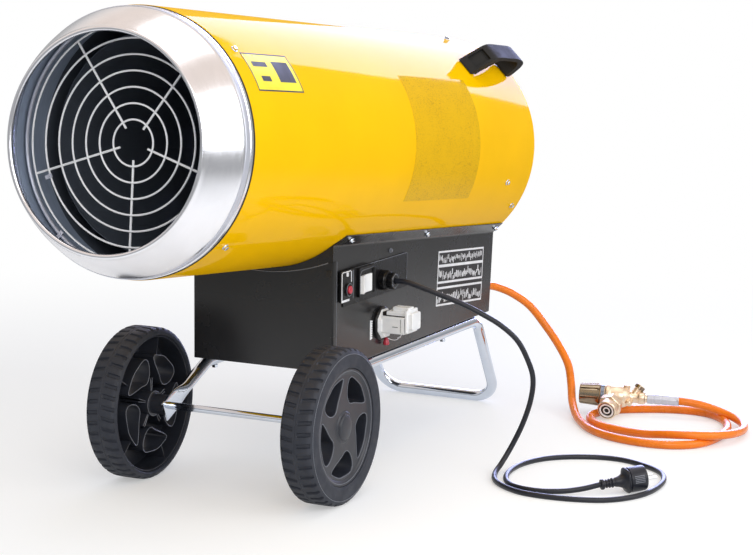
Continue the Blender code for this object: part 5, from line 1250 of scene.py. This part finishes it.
def make_reset(finish):
    """The reset button, its housing and collar, and the pale trim round them"""
    black = finish["black_plastic"]
    spin = button_seat()
    piece(
        "reset_case", tile(PLATE_FACE + SEAT_GAP, CASE_FACE, (-0.098, 0.299), (-0.041, 0.350), 0.003), black,
        stands_for=["reset_housing"], edge=0.0006, cutter=placed(button_bore(), spin),
    )
    collar = flat(rounded((
        (0.1341, 0.0076), (0.1341, 0.0108), (0.1373, 0.0104), (0.1373, 0.0076),
    ), 0.0006, 3, closed=True))
    piece("reset_collar", turned(collar, 40, closed=True), black, at=spin)
    # painted highlight: a thin pale hoop on the collar's outer rim
    hoop = turned([(0.1370, 0.0096), (0.1374, 0.0099), (0.1374, 0.0106), (0.1370, 0.0108)], 40, closed=True)
    piece("collar_hoop", hoop, finish["edge"], at=spin)
    button = flat(rounded((
        (0.1326, 0), (0.1326, 0.0066), (0.1394, 0.0066), (0.1403, 0.0046), (0.1403, 0),
    ), 0.0012))
    piece(
        "red_button", turned(button, 40), finish["red_plastic"], body="reset", at=spin,
        stands_for=["reset_button"],
    )
    wire = (
        (-0.0962, 0.3015), (-0.0962, 0.3465), (-0.0940, 0.3482), (-0.0660, 0.3482), (-0.0630, 0.3465),
        (-0.0630, 0.3300),
    )
    trim = [tube([Vector((0.1349, y, z)) for y, z in wire], 0.0008, 8)]
    trim.append(tile(CASE_FACE, 0.1354, (-0.0970, 0.2995), (-0.0700, 0.3030), 0.001))
    trim.append(tile(CASE_FACE, 0.1354, (-0.0800, 0.3400), (-0.0735, 0.3470), 0.002))
    piece("case_trim", merged(*trim), finish["paper"])
    # painted highlight: a thin pale strip on the case face
    groove = tile(CASE_FACE, 0.1347, (-0.0560, 0.3010), (-0.0545, 0.3480), 0.0005)
    piece("case_highlight_line", groove, finish["edge"])


def make_rocker_frame(finish):
    """The rocker's bezel with its well, its hood and a pale outline that paints a highlight round the well"""
    black = finish["black_plastic"]
    bezel = tile(PLATE_FACE + SEAT_GAP, FRAME_FACE, (-0.0405, 0.300), (0.0176, 0.349), 0.004)
    well = block((0.1309, -0.0388, 0.3048), (0.1480, 0.0062, 0.3362))
    piece("rocker_frame", bezel, black, stands_for=["rocker_bezel"], edge=0.0008, cutter=well)
    hood = [
        Vector((x, y, 0.3035))
        for x, y in ((FRAME_FACE, 0.0066), (0.1415, 0.0075), (0.1424, 0.0120), (FRAME_FACE, 0.0160))
    ]
    piece("rocker_hood", slab(rounded(hood, 0.003, 4, closed=True), (0, 0, 0.041)), black, edge=0.0008)
    # painted highlight: a thin pale tube round the rocker's well
    outline = (
        (-0.0390, 0.3046), (-0.0390, 0.3364), (-0.0340, 0.3440), (0.0100, 0.3450), (0.0150, 0.3370),
        (0.0150, 0.3046),
    )
    path = [Vector((0.1390, y, z)) for y, z in rounded(outline, 0.004)]
    piece("rocker_outline", tube(path, 0.0005, 8), finish["edge"])


def make_controls(finish):
    """Plate, reset button, rocker switch and their trim on the control side"""
    make_plate(finish)
    make_reset(finish)
    make_rocker_frame(finish)
    make_rocker(finish)


def make_rocker(finish):
    """The white rocker with its rear half pressed, hollowed a little on each half"""
    half = 0.0207
    crown = 0.00775
    valley = 0.00484
    shares = (0.25, 0.5, 0.75, 1)

    def face(share):
        return valley + (crown - valley) * share - 0.0006 * math.sin(math.pi * share)

    outline = [Vector((valley, 0, 0))]
    outline += [Vector((face(share), half * share, 0)) for share in shares]
    outline += [Vector((0, half, 0)), Vector((-0.0008, 0, 0)), Vector((0, -half, 0))]
    outline += [Vector((face(share), -half * share, 0)) for share in reversed(shares)]
    seat = Matrix.Translation((0.13455, -0.0165, 0.3058)) @ Matrix.Rotation(math.radians(8), 4, "Z")
    piece(
        "white_rocker", slab(outline, (0, 0, 0.0296)), finish["white_plastic"], body="rocker", at=seat,
        stands_for=["rocker_switch"], edge=0.0009, segments=3, smooth=40,
    )


def ribs(count, duty=0.35, depth=0.0012):
    """Grooves round a nut: how deep the surface sinks at an angle"""
    def dent(turn):
        phase = (turn / math.tau * count) % 1
        return depth if phase < duty else 0
    return dent


def make_gland(finish):
    """The cable gland: a stepped body and a fluted nut with a rounded end"""
    seat = wall_seat(PLATE_FACE + SEAT_GAP, 0.060, 0.315)
    body = flat(rounded((
        (0, 0), (0, 0.0172), (0.0100, 0.0172), (0.0120, 0.0160), (0.0140, 0.0160), (0.0140, 0.0090),
        (0.0200, 0.0090), (0.0200, 0),
    ), 0.0009))
    piece("gland_case", turned(body, 48), finish["black_plastic"], at=seat, stands_for=["gland_body"])
    nut = [
        (0.0143, 0.0096), (0.0143, 0.0138, 1), (0.0230, 0.0138, 1), (0.0244, 0.0130, 0.6),
        (0.0252, 0.0113), (0.0252, 0.0055), (0.0205, 0.0050),
    ]
    piece(
        "fluted_nut", turned(nut, 72, closed=True, dent=ribs(12)), finish["black_plastic"], at=seat,
        stands_for=["gland_nut"], edge=0.0003, smooth=40,
    )
    # painted glints: a pale ring on the nut's rim and six small pale ticks on its end
    edge = [(0.0250, 0.0106), (0.0255, 0.0109), (0.0255, 0.0113), (0.0250, 0.0116)]
    parts = [turned(edge, 40, closed=True)]
    for index in range(6):
        turn = Matrix.Rotation(math.tau * index / 6, 4, "Y") @ Matrix.Translation((0, 0.0247, 0.0120))
        parts.append(placed(block((-0.0020, -0.0012, -0.0010), (0.0020, 0.0004, 0.0006)), turn))
    piece("nut_painted_glints", merged(*parts), finish["edge"], at=seat)


def bridge_part(start, end, reach, low, high, corner=0.002):
    """One block of the bridge plug, as wide on both sides of its middle"""
    return tile(start, end, (BRIDGE_MIDDLE - reach, low), (BRIDGE_MIDDLE + reach, high), corner)


def make_bridge_plug(finish):
    """The round socket flange and the white plug that bridges it, with its latch, cap and dark seams"""
    seat = wall_seat(0.1285, BRIDGE_MIDDLE, SOCKET_HEIGHT)
    flange = flat(rounded((
        (0, 0), (0, 0.0285), (0.0040, 0.0285), (0.0058, 0.0268), (0.0058, 0),
    ), 0.0008))
    piece("socket_ring", turned(flange, 72), finish["black_plastic"], at=seat, stands_for=["socket_flange"])
    base = turned([(0.0058, 0), (0.0058, 0.0268), (0.0125, 0.0240), (0.0125, 0)], 8)
    base = placed(base, Matrix.Rotation(math.radians(22.5), 4, "Y"))
    blocks = (
        (0.1395, 0.1808, 0.0205, 0.2285, 0.2575, 0.003), (0.1470, 0.1808, 0.0170, 0.2590, 0.2662, 0.002),
        (0.1560, 0.1850, 0.0105, 0.2655, 0.2730, 0.002), (0.1828, 0.1870, 0.0215, 0.2305, 0.2700, 0.004),
        (0.1865, 0.1948, 0.0165, 0.2360, 0.2650, 0.004),
    )
    parts = [placed(base, seat)] + [bridge_part(*row) for row in blocks]
    latch = block((-0.005, 0, -0.007), (0.005, 0.012, 0.0010))
    parts.append(shifted(latch, (0.150, BRIDGE_MIDDLE + 0.010, 0.266)))
    piece(
        "white_bridge", merged(*parts), finish["white_plastic"], stands_for=["bridge_plug"], edge=0.0009,
        segments=3,
    )
    seams = (
        (0.1400, 0.1835, 0.0160, 0.2330, 0.2640, 0.002), (0.1600, 0.1700, 0.0207, 0.2400, 0.2412, 0.0004),
        (0.1745, 0.1752, 0.0207, 0.2320, 0.2540, 0.0002),
    )
    piece("bridge_seams", merged(*[bridge_part(*row) for row in seams]), finish["ink"])


def make_seal(finish):
    """The toothed strip, red tag and wire that seal the plug, and the panel's screw"""
    teeth = []
    for index in range(8):
        rise = 0.0040 * index
        teeth.append(tile(0.1285, 0.1302, (0.0215, 0.2205 + rise), (0.0262, 0.2230 + rise), 0.0006))
    strip = tile(0.1283, 0.1294, (0.0200, 0.2190), (0.0245, 0.2515), 0.0008)
    piece("seal_strip", merged(strip, *teeth), finish["white_plastic"])
    tag = [(0, 0), (0, 0.0050), (0.0030, 0.0056), (0.0090, 0.0042), (0.0125, 0.0022), (0.0130, 0)]
    place = Matrix.Translation((0.1358, 0.068, 0.2035)) @ Matrix.Rotation(math.pi / 2, 4, "X")
    piece("seal_tag", turned(flat(rounded(tag, 0.001)), 20), finish["red_plastic"], at=place)
    lead = bent([
        (0.1358, 0.068, 0.2155), (0.1480, 0.079, 0.2090), (0.1640, 0.070, 0.2230), (0.1790, 0.0560, 0.2330),
    ], 0.008)
    end = [Vector((0.1500, 0.0820, 0.2140)), Vector((0.1560, 0.0820, 0.2165))]
    piece("seal_wire", merged(tube(lead, 0.0006, 8), tube(end, 0.0007, 8)), finish["dull_wire"])
    piece("panel_screw", merged(hex_screw(0.8)), finish["edge"], at=wall_seat(BOX_WALL, 0.095, 0.360))


def make_side_label(finish):
    """A pale film on the box side with dark bands, each crossed by plain pale strips"""
    seat = Matrix.Translation((BOX_WALL, 0.283, 0.2347)) @ Matrix.Rotation(-DRUM_TILT, 4, "X")
    long = LABEL_LENGTH
    piece("pale_film", tile(0.0001, 0.0004, (0, 0), (long, LABEL_HEIGHT), 0.001), finish["paper"], at=seat)
    draw = random.Random(LABEL_SEED)
    tiles = [tile(0.0003, 0.0006, (0.002, 0.0340), (long - 0.001, 0.0400), 0.0004)]
    shapes = []
    for low, high in ((0.0740, 0.0950), (0.0440, 0.0690), (0.0035, 0.0300)):
        tiles.append(tile(0.0003, 0.0005, (0.003, low), (long - 0.003, high), 0.0006))
        place = 0.0045
        while place < long - 0.008:
            wide = draw.uniform(0.0012, 0.0034)
            bottom = low + draw.uniform(0.05, 0.45) * (high - low)
            top = bottom + draw.uniform(0.25, 0.50) * (high - low)
            shapes.append(tile(0.0004, 0.0006, (place, bottom), (place + wide, top), 0.0003))
            place += wide + draw.uniform(0.0008, 0.0028)
    piece("pale_film_print", merged(*tiles), finish["ink"], at=seat)
    piece("pale_film_shapes", merged(*shapes), finish["paper"], at=seat)


def oval_ring(point, across, up, wide, high, squareness, sides=24):
    """One cross-section between a round tube and a pressed flat one"""
    ring = []
    for index in range(sides):
        turn = math.tau * index / sides
        x = math.copysign(abs(math.cos(turn)) ** squareness, math.cos(turn))
        z = math.copysign(abs(math.sin(turn)) ** squareness, math.sin(turn))
        ring.append(point + across * x * wide + up * z * high)
    return ring


def make_frame(finish):
    """The bent tube with pressed ends on the axle, and the bright axle itself"""
    front = Vector((0, -0.090, 0.1777))
    rear = Vector((0, 0.4835, 0.1777))
    foot = Vector((0, 0.5857, TUBE_RADIUS))
    ahead = (AXLE - front).normalized()
    reach = Vector((TUBE_HALF, 0, 0))
    corners = [AXLE + reach, front + reach, rear + reach, foot + reach]
    mirrored = [Vector((-corner.x, corner.y, corner.z)) for corner in reversed(corners)]
    path = bent(corners + mirrored, TUBE_BEND, 12)[1:-1]
    tab = (
        (0.0200, 0.0018, 0.0165, 0.25), (0.0193, 0.0020, 0.0173, 0.25), (0.0120, 0.0020, 0.0176, 0.3),
        (0.0060, 0.0020, 0.0176, 0.3), (-0.0180, 0.0020, 0.0176, 0.4), (-0.0240, 0.0028, 0.0168, 0.5),
        (-0.0320, 0.0050, 0.0150, 0.7), (-0.0400, 0.0078, 0.0125, 0.9), (-0.0480, 0.0095, 0.0106, 1),
        (-0.0540, TUBE_RADIUS, TUBE_RADIUS, 1),
    )
    up = ahead.cross(Vector((-1, 0, 0)))
    rings = [oval_ring(AXLE + reach + ahead * along, Vector((1, 0, 0)), up, wide, high, square)
             for along, wide, high, square in tab]
    across = Vector((1, 0, 0))
    last = len(path) - 1
    for index, point in enumerate(path):
        walk = (path[min(index + 1, last)] - path[max(index - 1, 0)]).normalized()
        across = (across - walk * across.dot(walk)).normalized()
        rings.append(oval_ring(point, across, across.cross(walk), TUBE_RADIUS, TUBE_RADIUS, 1))
    turned_up = across.cross(ahead)
    for along, wide, high, square in reversed(tab):
        place = AXLE - reach + ahead * along
        rings.append(oval_ring(place, across, turned_up, wide, high, square))
    piece("bent_tube", skinned(rings), finish["chromed_tube"], stands_for=["frame_tube"], smooth=50)
    bar = flat(rounded(((-0.1924, 0), (-0.1924, 0.006), (0.1924, 0.006), (0.1924, 0)), 0.001))
    piece(
        "bright_axle", turned(bar, 32), finish["chromed_tube"], at=facing(AXLE, (1, 0, 0)),
        stands_for=["axle"],
    )


def wheel_seat(side):
    """The wheel's own frame, with local Y pointing outward"""
    return Matrix.Translation(AXLE) @ Matrix.Rotation(-side * math.pi / 2, 4, "Z")


def tyre_rings():
    """Cross-sections of the tyre: a wide sidewall outside, a thin tread, and two rows of staggered notches"""
    shoulder = [
        (0.0, 0.1150, 0), (0.0006, 0.1157, 0), (0.0002, 0.1165, 0), (0.0010, 0.1185, 0), (0.0022, 0.1206, 0),
        (0.0030, 0.1217, 0.8), (0.0052, 0.1237, 1), (0.0085, 0.1247, 1), (0.0165, 0.1249, 0.85),
        (0.0240, 0.1249, 0.55), (0.0250, 0.1249, 0), (0.0274, 0.1249, 0), (0.0281, 0.1243, 0),
    ]
    section = [(0.0050, 0.0932, 0), (0.0014, 0.0938, 0), (0.0003, 0.0962, 0), (0.0, 0.1000, 0)]
    section += [(width, radius, row) for width, radius, row in shoulder]
    section += [(TYRE_WIDTH - width, radius, -row) for width, radius, row in reversed(shoulder)]
    section += [(TYRE_WIDTH - 0.0012, 0.1130, 0), (TYRE_WIDTH - 0.0040, 0.1118, 0), (0.0090, 0.1118, 0)]
    section += [(0.0076, 0.1100, 0), (0.0076, 0.0936, 0)]
    steps = (0, 0.08, 0.34, 0.42, 0.50, 0.58, 0.84, 0.92)
    notches = {1: (1, 2), -1: (5, 6)}
    rings = []
    for pitch in range(TYRE_PITCHES):
        for number, part in enumerate(steps):
            ring = []
            for width, radius, depth in section:
                inner = min(max((min(width, TYRE_WIDTH - width) - 0.0030) / 0.0210, 0), 1)
                turn = math.tau * (pitch + part + 0.18 * inner) / TYRE_PITCHES
                if depth and number in notches[int(math.copysign(1, depth))]:
                    radius -= 0.0036 * abs(depth)
                ring.append(Vector((radius * math.sin(turn), WHEEL_FACE - width, radius * math.cos(turn))))
            rings.append(ring)
    return rings


def window_loop(index):
    """One rim window's smooth outline, as (x, z) points and their outward normals"""
    points = []
    for out, turn in WINDOW_SHARES:
        radius = WINDOW_INNER + (WINDOW_OUTER - WINDOW_INNER) * out
        angle = WINDOW_TURN + WINDOW_SWEEP * (turn - 0.5) + math.tau * index / WINDOW_COUNT
        points.append(Vector((-radius * math.sin(angle), radius * math.cos(angle))))
    points = rounded(points, 0.010, 4, closed=True)
    middle = sum(points, Vector((0, 0))) / len(points)
    loop = []
    for number, point in enumerate(points):
        walk = (points[(number + 1) % len(points)] - points[number - 1]).normalized()
        normal = Vector((walk.y, -walk.x))
        if normal.dot(point - middle) < 0:
            normal = -normal
        loop.append((point, normal))
    return loop


def window_rings(index, section):
    """Rings round a window, one for each of its points, through a section of (along, offset) points"""
    rings = []
    for point, normal in window_loop(index):
        ring = []
        for along, offset in section:
            place = point + normal * offset
            ring.append(Vector((place.x, along, place.y)))
        rings.append(ring)
    return rings


def window_cutter(index):
    """A plug for one window, flared so that it leaves a rounded edge in the rim's face"""
    edge = 0.0014
    section = [(RIM_BACK - 0.004, 0)]
    for step in range(5):
        turn = math.pi / 2 * step / 4
        section.append((RIM_FACE - edge + edge * math.sin(turn), edge - edge * math.cos(turn)))
    section.append((RIM_FACE + 0.004, edge))
    columns = window_rings(index, section)
    return skinned([list(layer) for layer in zip(*columns)])


def window_edge(index, along, offset):
    """A thin bead that follows a window's outline"""
    path = []
    for point, normal in window_loop(index):
        path.append(Vector((point.x + normal.x * offset, along, point.y + normal.y * offset)))
    return tube(path, 0.0007, 6, loop=True, side=(0, 1, 0))


def make_rim(finish, name, seat):
    """The moulded rim, with its five windows cut through its face"""
    outline = rounded((
        (0.1246, 0.0063), (0.1926, 0.0063), (0.1926, 0.0210), (0.1996, 0.0210), (0.1996, 0.0235),
        (0.1976, 0.0262), (0.1976, 0.0840), (0.1996, 0.0862), (0.2016, 0.0905), (0.2016, 0.0930),
        (0.1962, 0.0932), (0.1962, 0.1114), (0.1520, 0.1114), (0.1520, 0.1092), (RIM_BACK, 0.1088),
        (RIM_BACK, 0.0205), (0.1500, 0.0205), (0.1500, 0.0165), (0.1246, 0.0165),
    ), 0.0008, 3, closed=True)
    cutter = merged(*[window_cutter(index) for index in range(WINDOW_COUNT)])
    piece(
        "moulded_rim_" + name, turned(flat(outline), 120, closed=True), finish["rim"],
        body="wheel_" + name, at=seat, stands_for=["wheel_rim_" + name], cutter=cutter,
    )


def make_rim_walls(finish, name, seat):
    """The windows' walls, the ribs and webs between them, and pale beads on the edges that paint their
    highlights
    """
    deep = WALL_DEPTH
    wall = ((RIM_BACK + 0.002, 0.0003), (deep, 0.0003), (deep, 0.0019), (RIM_BACK + 0.002, 0.0019))
    walls = [skinned(window_rings(index, wall), loop=True) for index in range(WINDOW_COUNT)]
    beads = []
    for index in range(WINDOW_COUNT):
        turn = -WINDOW_TURN - math.tau * (index + 0.46) / WINDOW_COUNT
        for spread in (-0.06, 0.06):
            rib = block((-0.0009, deep + 0.002, 0.0195), (0.0009, RIM_BACK + 0.001, 0.0420))
            walls.append(placed(rib, Matrix.Rotation(turn + spread, 4, "Y")))
            bead = tube([Vector((0, deep + 0.002, 0.0195)), Vector((0, deep + 0.002, 0.0420))], 0.0006, 6)
            beads.append(placed(bead, Matrix.Rotation(turn + spread, 4, "Y")))
        web = block((-0.0009, deep + 0.004, 0.0800), (0.0009, RIM_BACK + 0.001, 0.1095))
        walls.append(placed(web, Matrix.Rotation(turn + 0.25, 4, "Y")))
        beads += [window_edge(index, RIM_FACE - 0.0001, 0.0010), window_edge(index, deep, 0.0011)]
    piece("rim_walls_" + name, merged(*walls), finish["rim"], body="wheel_" + name, at=seat)
    # painted highlights: pale beads along the windows' edges, the ribs' ends, and three hoops on the rim and
    # tyre
    hoops = ((0.0204, 0.1502, 0.0006), (0.0893, 0.2009, 0.0006), (0.1161, WHEEL_FACE - 0.0003, 0.0005))
    beads += [wire_ring(*hoop) for hoop in hoops]
    piece("rim_highlight_beads_" + name, merged(*beads), finish["edge"], body="wheel_" + name, at=seat)


def make_hub_cap(finish, name, seat):
    """The domed cap with its small raised mark"""
    dome = [(0.1930, 0), (0.1930, 0.0205), (0.2000, 0.0215), (0.2008, 0.0209)]
    for step in range(9):
        turn = math.pi / 2 * step / 8
        dome.append((0.2008 + 0.0033 * math.sin(turn), 0.0198 * math.cos(turn)))
    mark = shifted(block((-0.0022, 0.2000, -0.0008), (0.0022, 0.2019, 0.0008)), (0, 0, -0.0180))
    piece(
        "domed_cap_" + name, merged(turned(dome, 64), mark), finish["rim"], body="wheel_" + name, at=seat,
        stands_for=["hub_cap_" + name],
    )


def make_wheel(finish, name, side):
    """A tyre, a moulded rim with walled windows, and a domed cap, all turning together"""
    seat = wheel_seat(side)
    piece(
        "treaded_tyre_" + name, skinned(tyre_rings(), loop=True), finish["tyre"], body="wheel_" + name,
        at=seat, stands_for=["tyre_" + name],
    )
    make_rim(finish, name, seat)
    make_rim_walls(finish, name, seat)
    make_hub_cap(finish, name, seat)


def square_ring(along, radius, squareness, sides=48):
    """A ring round local Y, from round to a rounded square"""
    across = Vector((1, 0, 0))
    up = Vector((0, 0, 1))
    return oval_ring(Vector((0, along, 0)), across, up, radius, radius, squareness, sides)


def make_mains_plug(finish):
    """Ribbed relief, bell-shaped body with a squarish collar, ridged drum and two bright pins"""
    seat = facing(PLUG_START, plug_heading())
    relief = [(0, 0), (0, 0.0062), (0.0010, 0.0086), (0.0052, 0.0086), (0.0062, 0.0060)]
    for rib in range(3):
        start = 0.0085 + 0.0050 * rib
        radius = 0.0070 + 0.0005 * rib
        relief += [
            (start, 0.0058), (start + 0.0007, radius), (start + 0.0028, radius), (start + 0.0036, 0.0060),
        ]
    relief += [(0.0243, 0.0068), (0.0243, 0)]
    piece(
        "ribbed_relief", turned(flat(rounded(relief, 0.0005, 2)), 32), finish["cable"], at=seat,
        stands_for=["plug_strain_relief"],
    )
    profile = (
        (0, 0.32, 1), (0.02, 0.36, 1), (0.10, 0.40, 1), (0.18, 0.46, 1), (0.25, 0.54, 0.95),
        (0.31, 0.66, 0.85), (0.345, 0.82, 0.72), (0.365, 0.93, 0.66), (0.395, 0.97, 0.64),
        (0.425, 0.96, 0.66), (0.44, 0.92, 0.8), (0.455, 0.92, 0.95), (0.47, 0.99, 1), (0.50, 1.0, 1),
        (0.93, 1.0, 1), (0.975, 0.97, 1), (1, 0.90, 1),
    )
    rings = [
        square_ring(BELL_START + BELL_LENGTH * along, BELL_HALF * out, square)
        for along, out, square in profile
    ]
    plug = piece("bell_plug", skinned(rings), finish["cable"], at=seat, stands_for=["mains_plug"])
    grips = []
    for side, way in ((0, 1), (math.pi, -1)):
        for index in range(5):
            lean = math.pi / 2 - 0.20 + side + 0.13 * (index - 2) * way
            bar = block((-0.0007, 0.0530, 0.0203), (0.0007, 0.0700, 0.0213))
            grips.append(placed(bar, Matrix.Rotation(lean, 4, "Y")))
    # painted highlights: the grip bars are drawn in the pale grey of the highlight lines
    grips = piece("plug_grips", merged(*grips), finish["edge"], at=seat, edge=0.0003)
    pin = ((0.0755, 0), (0.0755, 0.0024), (0.0935, 0.0024), (0.0950, 0.0016), (0.0953, 0))
    pins = [shifted(turned(pin, 20), (side * 0.0095, 0, 0)) for side in (1, -1)]
    pins = piece("plug_pins", merged(*pins), finish["dull_wire"], at=seat)
    return plug, pins, grips


def make_casting(finish, seat, branch_seat, centre):
    """The regulator's turned body, with its post, branch, lower stub and the neck to its nut"""
    shares = (
        (0, 0), (0, 0.0186), (0.03, 0.0195), (0.12, 0.0195), (0.14, 0.0222), (0.22, 0.0222),
        (0.24, 0.0206), (0.31, 0.0212), (0.42, 0.0214), (0.50, 0.0205), (0.56, 0.0184), (0.60, 0.0150),
        (0.64, 0.0115), (0.66, 0.0098), (0.80, 0.0098), (0.82, 0.0108), (0.84, 0.0118), (0.93, 0.0118),
        (0.95, 0.0105), (0.96, 0.0076), (1, 0.0076), (1, 0),
    )
    outline = [(CASTING_START + CASTING_LENGTH * along, radius) for along, radius in shares]
    body = turned(flat(rounded(outline, 0.0008, 2)), 56)
    post = turned([
        (0, 0), (0, 0.0062), (0.0205, 0.0062), (0.0212, 0.0068), (0.0228, 0.0066), (0.0235, 0.0050),
        (0.0235, 0),
    ], 32)
    foot = Matrix.Translation((0, CASTING_START + CASTING_LENGTH * 0.56, 0))
    post = placed(post, foot @ Matrix.Rotation(math.pi / 2, 4, "X"))
    branch = turned([
        (0, 0), (0, 0.0078), (0.0185, 0.0078), (0.0200, 0.0092), (0.0262, 0.0092), (0.0275, 0.0080),
        (0.0275, 0),
    ], 32)
    lower = turned([(0, 0), (0, 0.0058), (0.0200, 0.0058), (0.0212, 0.0046), (0.0212, 0)], 28)
    low_place = Vector((0, CASTING_START + CASTING_LENGTH * 0.66, 0))
    lower = placed(lower, facing(low_place, (0.85, -0.10, -0.45)))
    out = NUT_FACE - centre
    end = out.length - 0.008
    neck = turned([(0, 0), (0, 0.0115), (0.020, 0.0115), (0.021, 0.0080), (end, 0.0080), (end, 0)], 32)
    neck = placed(neck, seat.inverted() @ facing(centre, out))
    return piece(
        "turned_body", merged(body, post, placed(branch, branch_seat), lower, neck), finish["brass"],
        at=seat, stands_for=["regulator_body"],
    )


def make_ferrule(finish, seat):
    """The crimped ferrule on the hose's end"""
    crimps = [(FERRULE_FIRST, 0.0078)]
    for index in range(4):
        low = 0.1082 + 0.0140 * index
        crimps += [(low, 0.0093), (low + 0.0100, 0.0093), (low + 0.0106, 0.0087), (low + 0.0134, 0.0087)]
    crimps += [(0.1650, 0.0093), (FERRULE_LAST, 0.0088), (FERRULE_LAST, 0.0074)]
    return piece(
        "crimped_ferrule", turned([(FERRULE_FIRST, 0)] + crimps + [(FERRULE_LAST, 0)], 40),
        finish["groove"], at=seat, stands_for=["hose_ferrule"],
    )


def make_regulator(finish):
    """Fluted knob, turned brass body with its stubs, crimped ferrule and swivel nut"""
    line = FERRULE_END - KNOB_CENTRE
    seat = facing(KNOB_CENTRE, line)
    start = CASTING_START
    knob = [
        (-0.0190, 0), (-0.0190, 0.0150, 0.3), (-0.0184, 0.0176, 1), (-0.0170, 0.0190, 1),
        (0.0060, 0.0205, 1), (0.0150, 0.0212, 1), (0.0175, 0.0214, 0.2), (0.0190, 0.0214), (0.0190, 0),
    ]
    made = [piece(
        "fluted_knob", turned(knob, 96, dent=ribs(8, 0.22, 0.0030)), finish["bronze"], body="knob", at=seat,
        stands_for=["regulator_knob"], smooth=40,
    )]
    branch_seat = facing(Vector((0, start + CASTING_LENGTH * 0.68, 0)), (-0.25, 0.55, 0.80), (1, 0, 0))
    centre = KNOB_CENTRE + line.normalized() * (start + CASTING_LENGTH * 0.36)
    made.append(make_casting(finish, seat, branch_seat, centre))
    rim = turned([(0.0195, 0.0088), (0.0195, 0.0097), (0.0265, 0.0097), (0.0265, 0.0088)], 32, closed=True)
    made.append(piece("branch_rim", rim, finish["bronze"], at=seat @ branch_seat, edge=0.0003))
    low = start + 0.002
    high = start + 0.009
    band = turned([(low, 0.0190), (low, 0.0200), (high, 0.0200), (high, 0.0190)], 56, closed=True)
    made.append(piece("body_band", band, finish["dull_brass"], at=seat, edge=0.0003))
    made.append(make_ferrule(finish, seat))
    made += make_swivel(finish, facing(NUT_FACE, centre - NUT_FACE))
    return made


def make_swivel(finish, seat):
    """The nut that screws on a cylinder: a hexagon, a round nose and its rings of seal and gasket"""
    nose = flat(rounded((
        (0.0012, 0.0115), (0, 0.0130), (0, 0.0170), (0.0020, 0.0184), (0.0150, 0.0184), (0.0160, 0.0160),
        (0.0160, 0.0115),
    ), 0.0006, 3, closed=True))
    flats = (
        (0.0158, 0.0115), (0.0158, 0.0205), (0.0172, 0.0225), (0.0300, 0.0225), (0.0314, 0.0205),
        (0.0314, 0.0115),
    )
    hexagon = placed(turned(flats, 6, closed=True), Matrix.Rotation(math.radians(15), 4, "Y"))
    made = [piece(
        "swivel_fitting", merged(turned(nose, 48, closed=True), hexagon), finish["brass"],
        body="swivel_nut", at=seat, stands_for=["cylinder_nut"], edge=0.0004,
    )]
    core = turned([(0.0016, 0), (0.0012, 0.0112), (0.0060, 0.0118), (0.0060, 0)], 32)
    outer = (
        (-0.0001, 0.0142), (-0.0005, 0.0152), (0.0010, 0.0164), (0.0020, 0.0166), (0.0020, 0.0142),
    )
    seal = merged(core, turned(outer, 48, closed=True))
    made.append(piece("swivel_seal", seal, finish["ink"], body="swivel_nut", at=seat))
    sections = (
        ((-0.0001, 0.0108), (-0.0005, 0.0120), (-0.0003, 0.0136), (0.0016, 0.0136), (0.0016, 0.0108)),
        ((0.0006, 0.0044), (0.0002, 0.0056), (0.0006, 0.0068), (0.0030, 0.0068), (0.0030, 0.0044)),
    )
    rings = [turned(section, 32, closed=True) for section in sections]
    made.append(piece("swivel_gasket", merged(*rings), finish["white_plastic"], body="swivel_nut", at=seat))
    return made


finish = make_finishes()
dress_nodes(finish)
make_camera()
make_stage()
cable, hose = make_cords(finish)
make_drum(finish)
make_drum_screws(finish)
make_labels(finish)
make_cone(finish)
make_grille(finish)
make_guard(finish)
make_handles(finish)
make_cover(finish)
make_tray(finish)
make_controls(finish)
make_gland(finish)
make_bridge_plug(finish)
make_seal(finish)
make_side_label(finish)
make_frame(finish)
for name, side in PAIR:
    make_wheel(finish, name, side)
on_cable = make_mains_plug(finish)
on_hose = make_regulator(finish)
